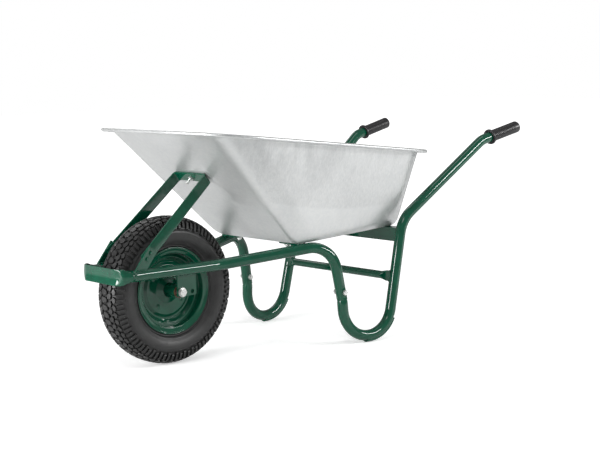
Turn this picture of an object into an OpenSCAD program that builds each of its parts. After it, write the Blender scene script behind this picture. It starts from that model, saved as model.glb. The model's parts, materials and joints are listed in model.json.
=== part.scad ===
// Single-wheel builder's wheelbarrow.
// X runs from the nose (-X) to the grips (+X), Y is across, Z is up, millimetres.
// The left side of the barrow, seen by the person pushing it, is -Y.
// Lengths along X are given from the wheel axle; the whole model is then moved so that
// the origin is on the ground in the middle of its box.

/* [Wheel] */
// Outside diameter of the tyre
tyre_d = 393; // [370:1:405]
// Width of the tyre
tyre_w = 99; // [86:1:104]
// Tyre thickness under the tread
tread_t = 10; // [8:0.5:16]
// Tyre thickness at the side wall
side_t = 4; // [3:0.5:8]
// Bead seat diameter of the rim
bead_d = 202; // [196:1:206]
// Outside diameter of the rim flange
flange_d = 231; // [226:1:240]
// Width over the rim flanges
rim_w = 66; // [60:1:72]
// Thickness of the rim sheet
rim_t = 2; // [1.5:0.5:3]
// Outside diameter of the hub tube
hub_d = 36; // [34:1:40]
// Wall of the hub tube
hub_wall = 3; // [2:0.5:4]
// Length of the hub tube
hub_len = 114; // [106:1:118]

/* [Axle] */
// Diameter of the axle bolt
axle_d = 12; // [10:0.5:14]
// Radial running clearance between axle bolt and bush
run_clear = 0.05; // [0.02:0.01:0.1]
// Diameter of the axle bolt's flanged head
axle_head_d = 24.5; // [23.5:0.5:28]
// Flange thickness of the hub bush
bush_flange_t = 3; // [2:0.5:4]
// End play between the bush flange and the spacer
end_play = 0.4; // [0.3:0.1:1]
// Thickness of the axle bracket plate
bracket_t = 5; // [4:0.5:6]

/* [Tubes] */
// Outside diameter of the frame tube
tube_d = 30; // [28:0.5:32]
// Wall of the frame tube
tube_wall = 1.5; // [1.2:0.1:2.5]
// Height of the pressed nose bar
nose_h = 42; // [36:1:46]
// Half the spacing of the fork tubes
fork_y = 80; // [78:0.5:86]
// Outside diameter of the brace between the legs
brace_d = 22; // [18:1:25]
// Thickness of the wear strip under each foot
skid_t = 3.5; // [2:0.5:5]
// Width of the wear strip
skid_w = 20; // [14:1:24]

/* [Legs and handles] */
// Half the spacing of the feet, at the middle of each foot
foot_y = 220; // [212:1:226]
// Half the spacing of the grips at their ends
grip_y = 273; // [260:1:285]
// Height of the grip end
grip_z = 571; // [550:1:600]
// Distance from the axle to the grip end
grip_x = 1120; // [1100:1:1150]
// Length of each grip
grip_len = 116; // [100:1:125]
// Outside diameter of the grip
grip_d = 35; // [34:0.5:38]
// Diameter of the grip's collar
grip_collar_d = 46; // [40:1:50]

/* [Tray] */
// Thickness of the tray sheet
sheet_t = 1.5; // [1:0.1:2.5]
// Height of the tray rim above the ground at the front
rim_front_z = 619; // [590:1:630]
// Half width of the tray at the rim
tray_half_w = 275; // [255:1:290]
// Half width of the tray floor
floor_half_w = 184; // [176:1:188]
// Width of the turned-out rim flange
lip_w = 26; // [20:1:34]
// Diameter of the rolled bead round the rim
bead_roll_d = 10; // [7:0.5:12]

/* [Front strut] */
// Width of the strut's flat bar
strut_w = 30; // [25:1:32]
// Thickness of the strut's flat bar
strut_t = 5; // [4:0.5:6]
// Half width of the strut over its top corners
strut_top_y = 69; // [62:1:73]

/* [Fasteners] */
// Diameter of the M8 bolts
bolt_d = 8; // [6:0.5:8]
// Diameter of the M6 bolts that hold the strut
strut_bolt_d = 6; // [5:0.5:6]
// Diametral clearance of the bolt holes
hole_clear = 0.6; // [0.4:0.1:1]

/* [Hidden] */
$fn = 48;

// ---- colours ----
paint = [0.05, 0.33, 0.22];
galvanised = [0.76, 0.78, 0.78];
zinc = [0.85, 0.86, 0.86];
rubber = [0.10, 0.10, 0.10];
brown = [0.35, 0.20, 0.13];
brass = [0.72, 0.58, 0.30];

// ---- vector helpers ----
function unit(v) = v / norm(v);
function lerp(a, b, t) = a + (b - a) * t;
// Smallest turn between two directions, in degrees
function turn(u, v) = acos(max(-1, min(1, u * v)));

// ---- placing ----
nose_x = -199;
nose_reach = 7.55;
grip_dome = 4;
grip_reach = 5.3;
shift_x = -(nose_x - nose_reach + grip_x + grip_reach) / 2;
axle_z = tyre_d / 2;
module placed() { translate([shift_x, 0, 0]) children(); }
module mirrored_pair() { children(); mirror([0, 1, 0]) children(); }

// Turns +Z to the direction v
module along(v) { rotate([0, acos(v[2] / norm(v)), atan2(v[1], v[0])]) children(); }

// ---- tube paths ----
tube_r = tube_d / 2;
tube_ir = tube_r - tube_wall;
fork_slope = -0.019;
function fork_z(x) = 261 + fork_slope * (x + 200);
splay_x = 118;          // where the fork tubes start to spread
splay = 0.375;          // sideways spread for each millimetre along X
rise = 0.105;           // rise for each millimetre along X
arch_x = 423.8;         // corner above the front leg
arch_bend = 75;
seam_drop = [25.9, 9.7, -157.1];
nose_mid = [nose_x, 0, fork_z(nose_x)];
nose_corner = [nose_x, fork_y, fork_z(nose_x)];
splay_pt = [splay_x, fork_y, fork_z(splay_x)];
function on_splay(x) = [x, fork_y + splay * (x - splay_x), fork_z(splay_x) + rise * (x - splay_x)];
arch_pt = on_splay(arch_x);
seam_pt = arch_pt + seam_drop;
leg_dir = unit(seam_drop);

nose_turn_r = 20;
front_path = [nose_mid, nose_corner, splay_pt, arch_pt, seam_pt];
front_bends = [0, nose_turn_r, 110, arch_bend, 0];

foot_z = skid_t + tube_r;
foot_bend = 84;
seam_gap = 0.3;
neck_len = 4;
spigot_len = 60;
spigot_clear = 0.2;
leg_start = seam_pt + seam_gap * leg_dir;
foot_toe = 8;           // how far each foot's ends stand in and out of its middle
foot_front = [451, foot_y - foot_toe, foot_z];
foot_rear = [602, foot_y + foot_toe, foot_z];
handle_pt = [676, foot_y + 1, 330];
grip_bend_pt = [976, grip_y - 10, grip_z - 31];
handle_end = [grip_x, grip_y, grip_z];
leg_path = [leg_start, foot_front, foot_rear, handle_pt, grip_bend_pt, handle_end];
leg_bends = [0, foot_bend, foot_bend, 100, 70, 0];
leg_top_dir = unit(foot_front - leg_start);
rear_leg_dir = unit(handle_pt - foot_rear);
function on_rear_leg(z) = foot_rear + rear_leg_dir * ((z - foot_z) / rear_leg_dir[2]);
grip_dir = unit(handle_end - grip_bend_pt);

// Length of straight that a bend takes off each side of its corner
function setback(p, r, i) = (i == 0 || i == len(p) - 1) ? 0
    : r[i] * tan(turn(unit(p[i] - p[i - 1]), unit(p[i + 1] - p[i])) / 2);

// The arc at corner i of the path p: [point, direction] in steps of about ten degrees
function arc_at(p, r, i) = let (
        u = unit(p[i] - p[i - 1]), v = unit(p[i + 1] - p[i]), ang = turn(u, v),
        n = unit(v - u * (u * v)), o = p[i] - u * r[i] * tan(ang / 2) + n * r[i],
        m = max(2, round(ang / 10)))
    [for (k = [0:m]) let (a = ang * k / m)
        [o + r[i] * (u * sin(a) - n * cos(a)), u * cos(a) + n * sin(a)]];
// The whole path as [point, direction] stations
function stations(p, r) = concat([[p[0], unit(p[1] - p[0])]],
    [for (i = [1:len(p) - 2]) each arc_at(p, r, i)],
    [[p[len(p) - 1], unit(p[len(p) - 1] - p[len(p) - 2])]]);
// The first normal carried along the stations without twisting
function carry(n, d) = unit(n - d * (n * d));
function normals(st, n0) = [for (i = 0, n = carry(n0, st[0][1]); i < len(st);
                                 i = i + 1, n = i < len(st) ? carry(n, st[i][1]) : n) n];
// One ring of the skin. s is [half thickness, half height, offset outwards, hollow of the face,
// how far the ring's sides lag behind its top and bottom]
function ring_at(st, n, s) = [for (k = [0:tube_n - 1]) let (
        f = 360 * k / tube_n, c = cos(f), o = s[0] * c + s[2] - s[3] * c * c)
    st[0] + n * o + cross(st[1], n) * (s[1] * sin(f)) + st[1] * (s[4] * c * c)];
function round_ring(st, n, r) = ring_at(st, n, [r, r, 0, 0, 0]);
// A closed skin over the rings; with inner rings it is a tube, open at both ends
module skin(outer, inner = []) {
    n = tube_n;
    m = len(outer);
    q = m * n;
    hollow = len(inner) > 0;
    polyhedron(
        points = concat([for (r = outer, p = r) p], [for (r = inner, p = r) p]),
        faces = concat(
            [for (i = [0:m - 2], k = [0:n - 1]) let (a = i * n + k, b = i * n + (k + 1) % n)
                each [[a, b + n, b], [a, a + n, b + n]]],
            hollow ? [for (i = [0:m - 2], k = [0:n - 1])
                let (a = q + i * n + k, b = q + i * n + (k + 1) % n)
                each [[a, b, b + n], [a, b + n, a + n]]] : [],
            hollow ? [for (k = [0:n - 1]) let (a = k, b = (k + 1) % n, e = q - n)
                each [[a, b, q + b], [a, q + b, q + a],
                      [e + b, e + a, q + e + b], [e + a, q + e + a, q + e + b]]]
                : [[for (k = [0:n - 1]) k], [for (k = [n - 1:-1:0]) q - n + k]]));
}
tube_n = 24;

module ring2d(ro, ri) {
    difference() {
        circle(ro);
        if (ri > 0) circle(ri);
    }
}

// ---- front frame: one tube, crushed into a tall hollow-faced bar at the nose ----
round_sec = [tube_r, tube_r, 0, 0, 0];
crease_sec = [14.2, tube_r + 0.6, 0.2, 0, 9];
flare_sec = [12, nose_h / 2 - 0.5, 1, 0, 7];
corner_sec = [9.8, nose_h / 2, 4, 0, 2];
bar_sec = [2.8, nose_h / 2, 7.2, 5.5, 0];
nose_steps = round(turn([0, 1, 0], unit(splay_pt - nose_corner)) / 10);
fork_dir = unit(splay_pt - nose_corner);
nose_end = nose_corner + fork_dir * setback(front_path, front_bends, 1);
// Extra stations between the nose's bend and the round fork tube
nose_fade = [for (x = [3, 7.5, 16, 24]) [nose_end + fork_dir * x, fork_dir]];
front_all = stations(front_path, front_bends);
front_stations = concat([for (i = [0:nose_steps + 1]) front_all[i]], nose_fade,
                        [for (i = [nose_steps + 2:len(front_all) - 1]) front_all[i]]);
function nose_section(i) =
    i < 2 ? bar_sec
    : i <= nose_steps + 1 ? let (t = 2 * (i - 1) / nose_steps)
        (t < 1 ? lerp(bar_sec, corner_sec, t) : lerp(corner_sec, flare_sec, t - 1))
    : i == nose_steps + 2 ? lerp(flare_sec, crease_sec, 0.2)
    : i == nose_steps + 3 ? crease_sec
    : i == nose_steps + 4 ? lerp(crease_sec, round_sec, 0.6)
    : round_sec;
function thinner(s, w) = [s[0] - w, s[1] - w, s[2], s[3], s[4]];
module front_tube() {
    ns = normals(front_stations, [-1, 0, 0]);
    m = len(front_stations);
    half = [for (i = [0:m - 1]) ring_at(front_stations[i], ns[i], nose_section(i))];
    bore = [for (i = [0:m - 1])
        ring_at(front_stations[i], ns[i], thinner(nose_section(i), tube_wall))];
    skin(concat(flipped(half), half), concat(flipped(bore), bore));
}
// The rings of the other side, from its end to the middle
function flipped(rings) = [for (i = [len(rings) - 1:-1:1]) [for (p = rings[i]) [p[0], -p[1], p[2]]]];

bolt_r = bolt_d / 2;
hole_r = (bolt_d + hole_clear) / 2;
joint_up = 21;
joint_pt = seam_pt - joint_up * leg_dir;
// A bolt hole of radius r across the barrow through the point p
module cross_hole(p, r = hole_r, len = 60) {
    translate([p[0], p[1] - len / 2, p[2]]) rotate([-90, 0, 0]) cylinder(r = r, h = len);
}

module front_frame() {
    color(paint) difference() {
        front_tube();
        mirrored_pair() cross_hole(joint_pt);
    }
}

// ---- leg and handle: one tube from the leg joint, round the foot and up to the grip ----
spigot_r = tube_ir - spigot_clear;
leg_all = stations(leg_path, leg_bends);
// Stations with their outer and inner radius: the spigot, the neck and then the tube
leg_stations = concat(
    [[leg_start - spigot_len * leg_dir, leg_dir, spigot_r, spigot_r - tube_wall],
     [leg_start, leg_dir, spigot_r, spigot_r - tube_wall],
     [leg_start, leg_dir, tube_r, spigot_r - tube_wall],
     [leg_start + neck_len * leg_top_dir, leg_top_dir, tube_r, spigot_r - tube_wall],
     [leg_start + (neck_len + 2) * leg_top_dir, leg_top_dir, tube_r, tube_ir]],
    [for (i = [1:len(leg_all) - 1]) concat(leg_all[i], [tube_r, tube_ir])]);
module leg_handle() {
    ns = normals(leg_stations, [0, 1, 0]);
    m = len(leg_stations);
    color(paint) difference() {
        skin([for (i = [0:m - 1]) let (s = leg_stations[i]) round_ring(s, ns[i], s[2])],
             [for (i = [0:m - 1]) let (s = leg_stations[i]) round_ring(s, ns[i], s[3])]);
        cross_hole(joint_pt);
    }
}
// The rear leg's top bend as a solid bar, for coping what is welded to it
module leg_bend_solid() {
    p = [on_rear_leg(240), handle_pt, lerp(handle_pt, grip_bend_pt, 0.4)];
    st = stations(p, [0, leg_bends[3], 0]);
    ns = normals(st, [0, 1, 0]);
    skin([for (i = [0:len(st) - 1]) round_ring(st[i], ns[i], tube_r)]);
}

// ---- grips ----
grip_fit = 0.05;
grip_start = handle_end - grip_len * grip_dir;
collar_len = 8;
module grip() {
    color(rubber) translate(grip_start) along(grip_dir) rotate_extrude()
        polygon(concat(
            [[tube_r + grip_fit, 0], [grip_collar_d / 2 - 2, 0], [grip_collar_d / 2, 2],
             [grip_collar_d / 2, collar_len - 2], [grip_collar_d / 2 - 2, collar_len],
             [grip_d / 2, collar_len + 3], [grip_d / 2, grip_len]],
            [for (a = [30:30:90]) [grip_d / 2 * cos(a), grip_len + grip_dome * sin(a)]],
            [[0, grip_len + grip_fit], [tube_r + grip_fit, grip_len + grip_fit]]));
}

// ---- brace between the rear legs, its ends squeezed flat against the tubes ----
brace_z = 174;
brace_leg = on_rear_leg(brace_z);
brace_x = brace_leg[0] - 12.5;
brace_flat_t = 5;
brace_flat_h = 30;
brace_tube_half = foot_y - 34;
brace_neck = 18;
module brace_end() {
    hull() {
        translate([brace_x, brace_tube_half - 0.5, brace_z]) rotate([-90, 0, 0])
            cylinder(d = brace_d, h = 0.5, $fn = 32);
        translate([brace_x - brace_flat_t / 2, brace_tube_half + brace_neck, brace_z - brace_flat_h / 2])
            cube([brace_flat_t, 0.5, brace_flat_h]);
    }
    translate([brace_x - brace_flat_t / 2, brace_tube_half + brace_neck, brace_z - brace_flat_h / 2])
        cube([brace_flat_t, foot_y - brace_tube_half - brace_neck, brace_flat_h]);
}
module leg_brace() {
    color(paint) difference() {
        union() {
            translate([brace_x, -brace_tube_half, brace_z]) rotate([-90, 0, 0])
                linear_extrude(2 * brace_tube_half) ring2d(brace_d / 2, brace_d / 2 - tube_wall);
            mirrored_pair() brace_end();
        }
        mirrored_pair() rear_leg_solid();
    }
}
// The rear leg as a plain bar, for coping what is welded to it
module rear_leg_solid() {
    translate(on_rear_leg(60)) along(rear_leg_dir) cylinder(r = tube_r, h = 320);
}

// ---- tray seat: the plane that the floor's underside lies in ----
floor_slope = 0.0375;
crest_x = 366;
crest_gap = 0.4;
arch_start = arch_pt - unit(arch_pt - splay_pt) * setback(front_path, front_bends, 3);
crest_z = arch_start[2] + 0.4 + tube_r + crest_gap;
function floor_z(x) = crest_z + floor_slope * (x - crest_x);
floor_tilt = atan(floor_slope);

// Corners in plan from the front round to the rear, at the floor and at the rim,
// each [x, half width, corner radius]
floor_corners = [[310, 88, 60], [314, 171, 14], [372, floor_half_w, 120], [722, 178, 46]];
rim_front_x = -30;
rim_corners = [[rim_front_x, 88, 200], [-4, 240, 62], [92, tray_half_w - 4, 160], [798, 241, 128]];
rim_slope = -0.12;
function rim_z(x) = rim_front_z + rim_slope * (x - rim_front_x);
function front_wall_point(t) = let (x = lerp(floor_corners[0][0], rim_corners[0][0], t))
    [x, lerp(floor_z(floor_corners[0][0]), rim_z(rim_corners[0][0]), t)];

// Children drawn in a frame whose XY plane is the tray seat at x
module on_floor(x) { translate([x, 0, floor_z(x)]) rotate([0, -floor_tilt, 0]) children(); }

// ---- rear support: an angle bar welded between the rear legs ----
support_x = 660;
support_leg = 39;
support_foot = 26;
support_t = 3;
support_half = on_rear_leg(300)[1];
tray_rear_bolt = [support_x + 14, 150];
module rear_support() {
    color(paint) difference() {
        on_floor(support_x) {
            translate([0, -support_half, -support_leg]) cube([support_t, 2 * support_half, support_leg]);
            translate([0, -support_half, -support_t]) cube([support_foot, 2 * support_half, support_t]);
        }
        mirrored_pair() leg_bend_solid();
        mirrored_pair() tray_bolt_hole(tray_rear_bolt);
    }
}

// ---- tray tabs: flats welded on the arches under the front of the floor ----
tab_len = 30;
tab_t = 4;
tab_in_y = 88;
tray_front_bolt = [340, 103];
tab_tube_y = on_splay(tray_front_bolt[0])[1];
module tray_tab() {
    color(paint) difference() {
        on_floor(tray_front_bolt[0]) translate([-tab_len / 2, tab_in_y, -tab_t])
            cube([tab_len, tab_tube_y - tab_in_y, tab_t]);
        translate(splay_pt) along(arch_pt - splay_pt)
            translate([0, 0, 60]) cylinder(r = tube_r, h = norm(arch_start - splay_pt) - 61);
        tray_bolt_hole(tray_front_bolt);
    }
}
// A hole square to the tray seat at the plan position p
module tray_bolt_hole(p) { on_floor(p[0]) translate([0, p[1], -20]) cylinder(r = hole_r, h = 40); }

// ---- foot skids: strips welded round the rear underside of each foot ----
skid_back = 62;
skid_fore = 14;
skid_arc = 34;
module foot_skid() {
    color(paint) foot_frame() {
        rotate([0, 0, -90]) rotate_extrude(angle = skid_back, $fn = 96)
            translate([foot_bend, 0]) skid_profile();
        translate([-skid_fore, -foot_bend, 0]) rotate([90, 0, 90]) linear_extrude(skid_fore)
            mirror([1, 0]) skid_profile();
    }
}
// The strip's section, wrapped round the tube's outer side
module skid_profile() {
    difference() {
        circle(tube_r + skid_t);
        circle(tube_r);
        translate([-40, skid_w / 2]) square([80, 40]);
        translate([-40, -skid_w / 2 - 40]) square([80, 40]);
        translate([-40, -40]) square([40, 80]);
    }
}
// Local frame at the centre of the foot's rear bend: X back, Y up, Z across
module foot_frame() {
    u = unit(foot_rear - foot_front);
    v = rear_leg_dir;
    n = unit(v - u * (u * v));
    o = foot_rear - u * foot_bend * tan(turn(u, v) / 2) + n * foot_bend;
    w = cross(u, n);
    multmatrix([[u[0], n[0], w[0], o[0]], [u[1], n[1], w[1], o[1]],
                [u[2], n[2], w[2], o[2]], [0, 0, 0, 1]]) children();
}

// ---- axle brackets: plates welded under the fork tubes ----
bracket_in_y = fork_y - tube_r;
bracket_front = -13;
bracket_back = 48;
bracket_low = axle_z - 12;
bracket_top = fork_z(0) - 6;
bracket_ear_r = 13;
spare_hole = [35, -1.5];
spare_hole_r = 5.5;
axle_hole_r = axle_d / 2 + 0.2;
module axle_bracket() {
    color(paint) difference() {
        translate([0, bracket_in_y, 0]) rotate([90, 0, 0]) mirror([0, 0, 1])
            linear_extrude(bracket_t) difference() {
                union() {
                    rounded_plate(bracket_front, bracket_low, bracket_back, bracket_top + 4, 5);
                    translate([0, axle_z]) circle(bracket_ear_r);
                }
                translate([0, axle_z]) circle(axle_hole_r);
                translate([spare_hole[0], axle_z + spare_hole[1]]) circle(spare_hole_r);
            }
        translate([-60, bracket_in_y - 20, bracket_top]) rotate([0, -atan(fork_slope), 0])
            cube([150, 60, 30]);
        translate([-100, fork_y, fork_z(-100)]) along([1, 0, fork_slope])
            cylinder(r = tube_r, h = 200);
    }
}
// A rectangle from (x0, y0) to (x1, y1) with its lower corners rounded to r
module rounded_plate(x0, y0, x1, y1, r) {
    translate([x0 + r, y0]) square([x1 - x0 - 2 * r, y1 - y0]);
    translate([x0, y0 + r]) square([x1 - x0, y1 - y0 - r]);
    for (x = [x0 + r, x1 - r]) translate([x, y0 + r]) circle(r);
}

// ---- front strut: a flat bar bent to a U, flat on the tray's front wall ----
strut_lean = 40.4;
strut_dir = [cos(strut_lean), 0, sin(strut_lean)];
strut_low_mid = [-111.7, 0, 306.7];
strut_out_y = fork_y + 3;
strut_reach = 12;
strut_bend_r = 9;
tab_lean = 51;
strut_pitch = 19;
strut_hole_r = (strut_bolt_d + hole_clear) / 2;
// Distance from the lower bolts to the back of the cross piece, along the strut: its upper
// or its lower edge meets the wall first, as the wall leans
strut_len = min(strut_wall_distance(-1), strut_wall_distance(1));
function strut_wall_distance(side) = let (
        p0 = front_wall_point(0), p1 = front_wall_point(1),
        m = [p1[1] - p0[1], -(p1[0] - p0[0])],
        c = [strut_dir[0], strut_dir[2]],
        w = [strut_dir[2], -strut_dir[0]] * (side * strut_w / 2),
        s = [strut_low_mid[0], strut_low_mid[2]] + w)
    ((p0 - s) * m) / (c * m) - 0.3;

// Half of the strut's centre line: [across, along]
strut_corner = [strut_top_y - strut_t / 2, strut_len - strut_t / 2];
strut_foot = [strut_out_y - strut_t / 2, -strut_reach - 3];
module strut_outline() {
    a = strut_foot;
    c = strut_corner;
    u = unit(c - a);
    ang = turn(u, [-1, 0]);
    s = c - u * strut_bend_r * tan(ang / 2);
    o = [s[0] - strut_bend_r * u[1], s[1] + strut_bend_r * u[0]];
    start = atan2(s[1] - o[1], s[0] - o[0]);
    function arc(r) = [for (k = [0:8]) o + r * [cos(start + ang * k / 8), sin(start + ang * k / 8)]];
    n = [u[1], -u[0]] * strut_t / 2;
    outer = concat([a + n], arc(strut_bend_r + strut_t / 2));
    inner = concat([a - n], arc(strut_bend_r - strut_t / 2));
    flip = [for (i = [len(outer) - 1:-1:0]) [-outer[i][0], outer[i][1]]];
    flip_in = [for (i = [0:len(inner) - 1]) [-inner[i][0], inner[i][1]]];
    back = [for (i = [len(inner) - 1:-1:0]) inner[i]];
    polygon(concat(outer, flip, flip_in, back));
}
// Local frame of the strut: X across, Y along the arms, Z down the width of the bar
module strut_frame() {
    d = strut_dir;
    translate(strut_low_mid) multmatrix([[0, d[0], d[2], 0], [1, 0, 0, 0],
                                         [0, d[2], -d[0], 0], [0, 0, 0, 1]]) children();
}
strut_bolt_at = [for (s = [-0.5, 0.5]) strut_low_mid
    + s * strut_pitch * [cos(tab_lean), 0, sin(tab_lean)]];
module front_strut() {
    color(paint) difference() {
        strut_frame() translate([0, 0, -strut_w / 2]) linear_extrude(strut_w) strut_outline();
        for (p = strut_bolt_at, s = [-1, 1]) cross_hole([p[0], s * strut_foot[0], p[2]], strut_hole_r);
        strut_frame() translate([0, strut_len - 20, 0]) rotate([-90, 0, 0])
            cylinder(r = hole_r, h = 40);
    }
}

// ---- strut tabs: plates welded on the fork tubes, outside the strut ----
tab_gap = 0.3;
tab_plate_w = 28;
tab_top = 21;
tab_root = 60;
module strut_tab() {
    arm_y = strut_out_y + tab_gap;
    m = [cos(tab_lean), sin(tab_lean)];
    color(paint) difference() {
        translate([strut_low_mid[0], arm_y, strut_low_mid[2]]) rotate([90, 0, 0]) mirror([0, 0, 1])
            linear_extrude(strut_t) rotate([0, 0, tab_lean])
                translate([-tab_root, -tab_plate_w / 2]) square([tab_root + tab_top, tab_plate_w]);
        translate([-200, fork_y, fork_z(-200)]) along([1, 0, fork_slope])
            cylinder(r = tube_r, h = 200);
        translate([-200, arm_y - 1, fork_z(-200) - 40]) rotate([0, -atan(fork_slope), 0])
            cube([200, strut_t + 2, 40]);
        for (p = strut_bolt_at) cross_hole([p[0], arm_y, p[2]], strut_hole_r);
    }
}

// ---- tray: one drawn sheet, its wall leaning out from the floor to a flanged rim ----
arc_n = [3, 5, 5, 7];

// The eight corners of a level, anticlockwise from the front left
function closed(c) = concat([for (p = c) [p[0], -p[1]]],
                            [for (i = [3:-1:0]) [c[i][0], c[i][1]]]);
function edge_out(a, b) = let (d = unit(b - a)) [d[1], -d[0]];
// Moves every edge of the polygon p outwards by w
function grow(p, w) = [for (i = [0:7]) let (
        n0 = edge_out(p[(i + 7) % 8], p[i]), n1 = edge_out(p[i], p[(i + 1) % 8]))
    p[i] + w * (n0 + n1) / (1 + n0 * n1)];
// Rounds the corners of the polygon p to the radii r, with a fixed number of points
function rounded(p, r) = [for (i = [0:7]) let (
        k = i < 4 ? i : 7 - i, u = unit(p[i] - p[(i + 7) % 8]), v = unit(p[(i + 1) % 8] - p[i]),
        ang = turn(u, v), s = p[i] - u * r[k] * tan(ang / 2), o = s + [-u[1], u[0]] * r[k],
        a0 = atan2(s[1] - o[1], s[0] - o[0]))
    each [for (j = [0:arc_n[k]]) o + r[k] * [cos(a0 + ang * j / arc_n[k]),
                                             sin(a0 + ang * j / arc_n[k])]]];
function outline(c, w) = rounded(grow(closed(c), w), [for (p = c) max(p[2] + w, 4)]);

// A ring of the wall at height share t, from the floor plane (0) to the rim plane (1)
wall_foot = floor_ring(0);
wall_head = flange_ring(0);
function wall_ring(t) = [for (i = [0:len(wall_foot) - 1]) lerp(wall_foot[i], wall_head[i], t)];
// A ring on the floor, set in from its edge by w
function floor_ring(w) = [for (p = outline(floor_corners, -w))
    [p[0], p[1], floor_z(p[0])]];
// A ring on the flange, set out from the wall by w and up by h
function flange_ring(w, h = 0) = [for (p = outline(rim_corners, w)) [p[0], p[1], rim_z(p[0]) + h]];
// A blend of three rings, tangent to the first and last legs
function blend(a, b, c, t) = [for (i = [0:len(a) - 1])
    a[i] * (1 - t) * (1 - t) + 2 * b[i] * t * (1 - t) + c[i] * t * t];
floor_round = 16;
wall_round_t = 0.11;
lip_round = 9;
lip_round_t = 0.97;
roll_r = bead_roll_d / 2;
under_rings = concat(
    [floor_ring(floor_round + 4)],
    [for (t = [0, 0.25, 0.5, 0.75, 1])
        blend(floor_ring(floor_round), floor_ring(0), wall_ring(wall_round_t), t)],
    [for (t = [0.35, 0.6, 0.85]) wall_ring(t)],
    [for (t = [0, 0.35, 0.7, 1])
        blend(wall_ring(lip_round_t), wall_ring(1), flange_ring(lip_round), t)]);
// The same ring moved along the sheet's normal by its thickness
function ring_n() = len(under_rings[0]);
function at(k, i) = under_rings[max(0, min(len(under_rings) - 1, k))][(i + ring_n()) % ring_n()];
function skin_normal(k, i) = unit(cross(at(k, i + 1) - at(k, i - 1), at(k + 1, i) - at(k - 1, i)));
function lifted(k) = [for (i = [0:ring_n() - 1]) at(k, i) - sheet_t * skin_normal(k, i)];
roll_start = asin((roll_r - sheet_t) / roll_r);
roll_rings = [for (j = [0:7]) let (f = 180 - roll_start + (270 + roll_start) * j / 7)
    flange_ring(lip_w - roll_r + roll_r * cos(f), sheet_t - roll_r + roll_r * sin(f))];
upper_rings = [for (k = [len(under_rings) - 1:-1:0]) lifted(k)];
module tray_sheet() {
    rings = concat(under_rings, roll_rings, upper_rings);
    n = ring_n();
    m = len(rings);
    centre = [520, 0];
    polyhedron(
        points = concat([for (r = rings, p = r) p],
                        [[centre[0], 0, floor_z(centre[0])],
                         [centre[0], 0, floor_z(centre[0]) + sheet_t * sqrt(1 + floor_slope ^ 2)]]),
        faces = concat(
            [for (k = [0:m - 2], i = [0:n - 1]) let (j = (i + 1) % n)
                [k * n + i, (k + 1) * n + i, (k + 1) * n + j]],
            [for (k = [0:m - 2], i = [0:n - 1]) let (j = (i + 1) % n)
                [k * n + i, (k + 1) * n + j, k * n + j]],
            [for (i = [0:n - 1]) [m * n, i, (i + 1) % n]],
            [for (i = [0:n - 1]) [m * n + 1, (m - 1) * n + (i + 1) % n, (m - 1) * n + i]]));
}
module tray() {
    color(galvanised) difference() {
        tray_sheet();
        mirrored_pair() tray_bolt_hole(tray_front_bolt);
        mirrored_pair() tray_bolt_hole(tray_rear_bolt);
        strut_frame() translate([0, strut_len - 20, 0]) rotate([-90, 0, 0])
            cylinder(r = hole_r, h = 60);
    }
}

// ---- wheel ----
// Children turned about the wheel axle: their Z axis becomes +Y
module on_axle() { translate([0, 0, axle_z]) rotate([-90, 0, 0]) children(); }

tyre_r = tyre_d / 2;
bead_r = bead_d / 2;
flange_r = flange_d / 2;
waist_r = 148;
// One side of the tyre's outside: [radius, half width], from the bead to the crown
function tyre_side(w, top, n) = [for (a = [0:10:90])
    [waist_r + (top - waist_r) * pow(sin(a), 2 / n), w * pow(cos(a), 2 / n)]];
module tyre() {
    out = concat([[bead_r + 0.2, rim_w / 2 - 4.5], [flange_r + 3, rim_w / 2 - 0.5], [waist_r - 18, tyre_w / 2 - 3]],
                 tyre_side(tyre_w / 2, tyre_r, 2.9));
    inn = concat([[bead_r + 0.2, rim_w / 2 - 15], [flange_r + 1, rim_w / 2 - 9],
                  [waist_r - 18, tyre_w / 2 - 3 - side_t]],
                 tyre_side(tyre_w / 2 - side_t, tyre_r - tread_t, 2.6));
    color(rubber) on_axle() rotate_extrude($fn = 96)
        polygon(concat(both_sides(out), reversed(both_sides(inn))));
}
function reversed(p) = [for (i = [len(p) - 1:-1:0]) p[i]];
// A line from one bead over the crown to the other bead
function both_sides(p) = concat(p, [for (i = [len(p) - 2:-1:0]) [p[i][0], -p[i][1]]]);
tube_gap = 0.5;
module inner_tube() {
    w = tyre_w / 2 - side_t - tube_gap;
    top = tyre_r - tread_t - tube_gap;
    side = concat([[bead_r + 4, 17], [flange_r + 2, rim_w / 2 - 9.5 - tube_gap],
                   [waist_r - 18, w - 3]], tyre_side(w, top, 2.6));
    all = both_sides(side);
    k = 1 - tube_wall_t / (tyre_w / 2);
    color(rubber) on_axle() rotate_extrude($fn = 96) difference() {
        polygon(all);
        polygon([for (p = all) [waist_r + (p[0] - waist_r) * k, p[1] * k]]);
    }
}
tube_wall_t = 2.4;

// Rim half: [radius, distance from the middle plane] along its middle, lip to hub
well_r = 85.5;
disc_y = 6;
hub_r = hub_d / 2;
weld_ring_r = 74;
function rim_line() = [
    [flange_r - 1, rim_w / 2 + 2.5], [flange_r - 3.5, rim_w / 2], [flange_r - 9, rim_w / 2 - 1.5],
    [bead_r - 1, rim_w / 2 - 3.5], [bead_r - 2.2, 15], [well_r + 3, 11], [well_r - 1, 8],
    [well_r - 3, 3.5], [well_r - 6, rim_t / 2], [weld_ring_r, rim_t / 2], [66, disc_y],
    [36, disc_y], [26, disc_y + 5], [hub_r + 1.2, disc_y + 9]];
function side_normal(p, i) = let (
        a = unit(p[max(i, 1)] - p[max(i, 1) - 1]),
        b = unit(p[min(i + 1, len(p) - 1)] - p[min(i + 1, len(p) - 1) - 1]),
        na = [a[1], -a[0]], nb = [b[1], -b[0]])
    (na + nb) / (1 + na * nb);
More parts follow.
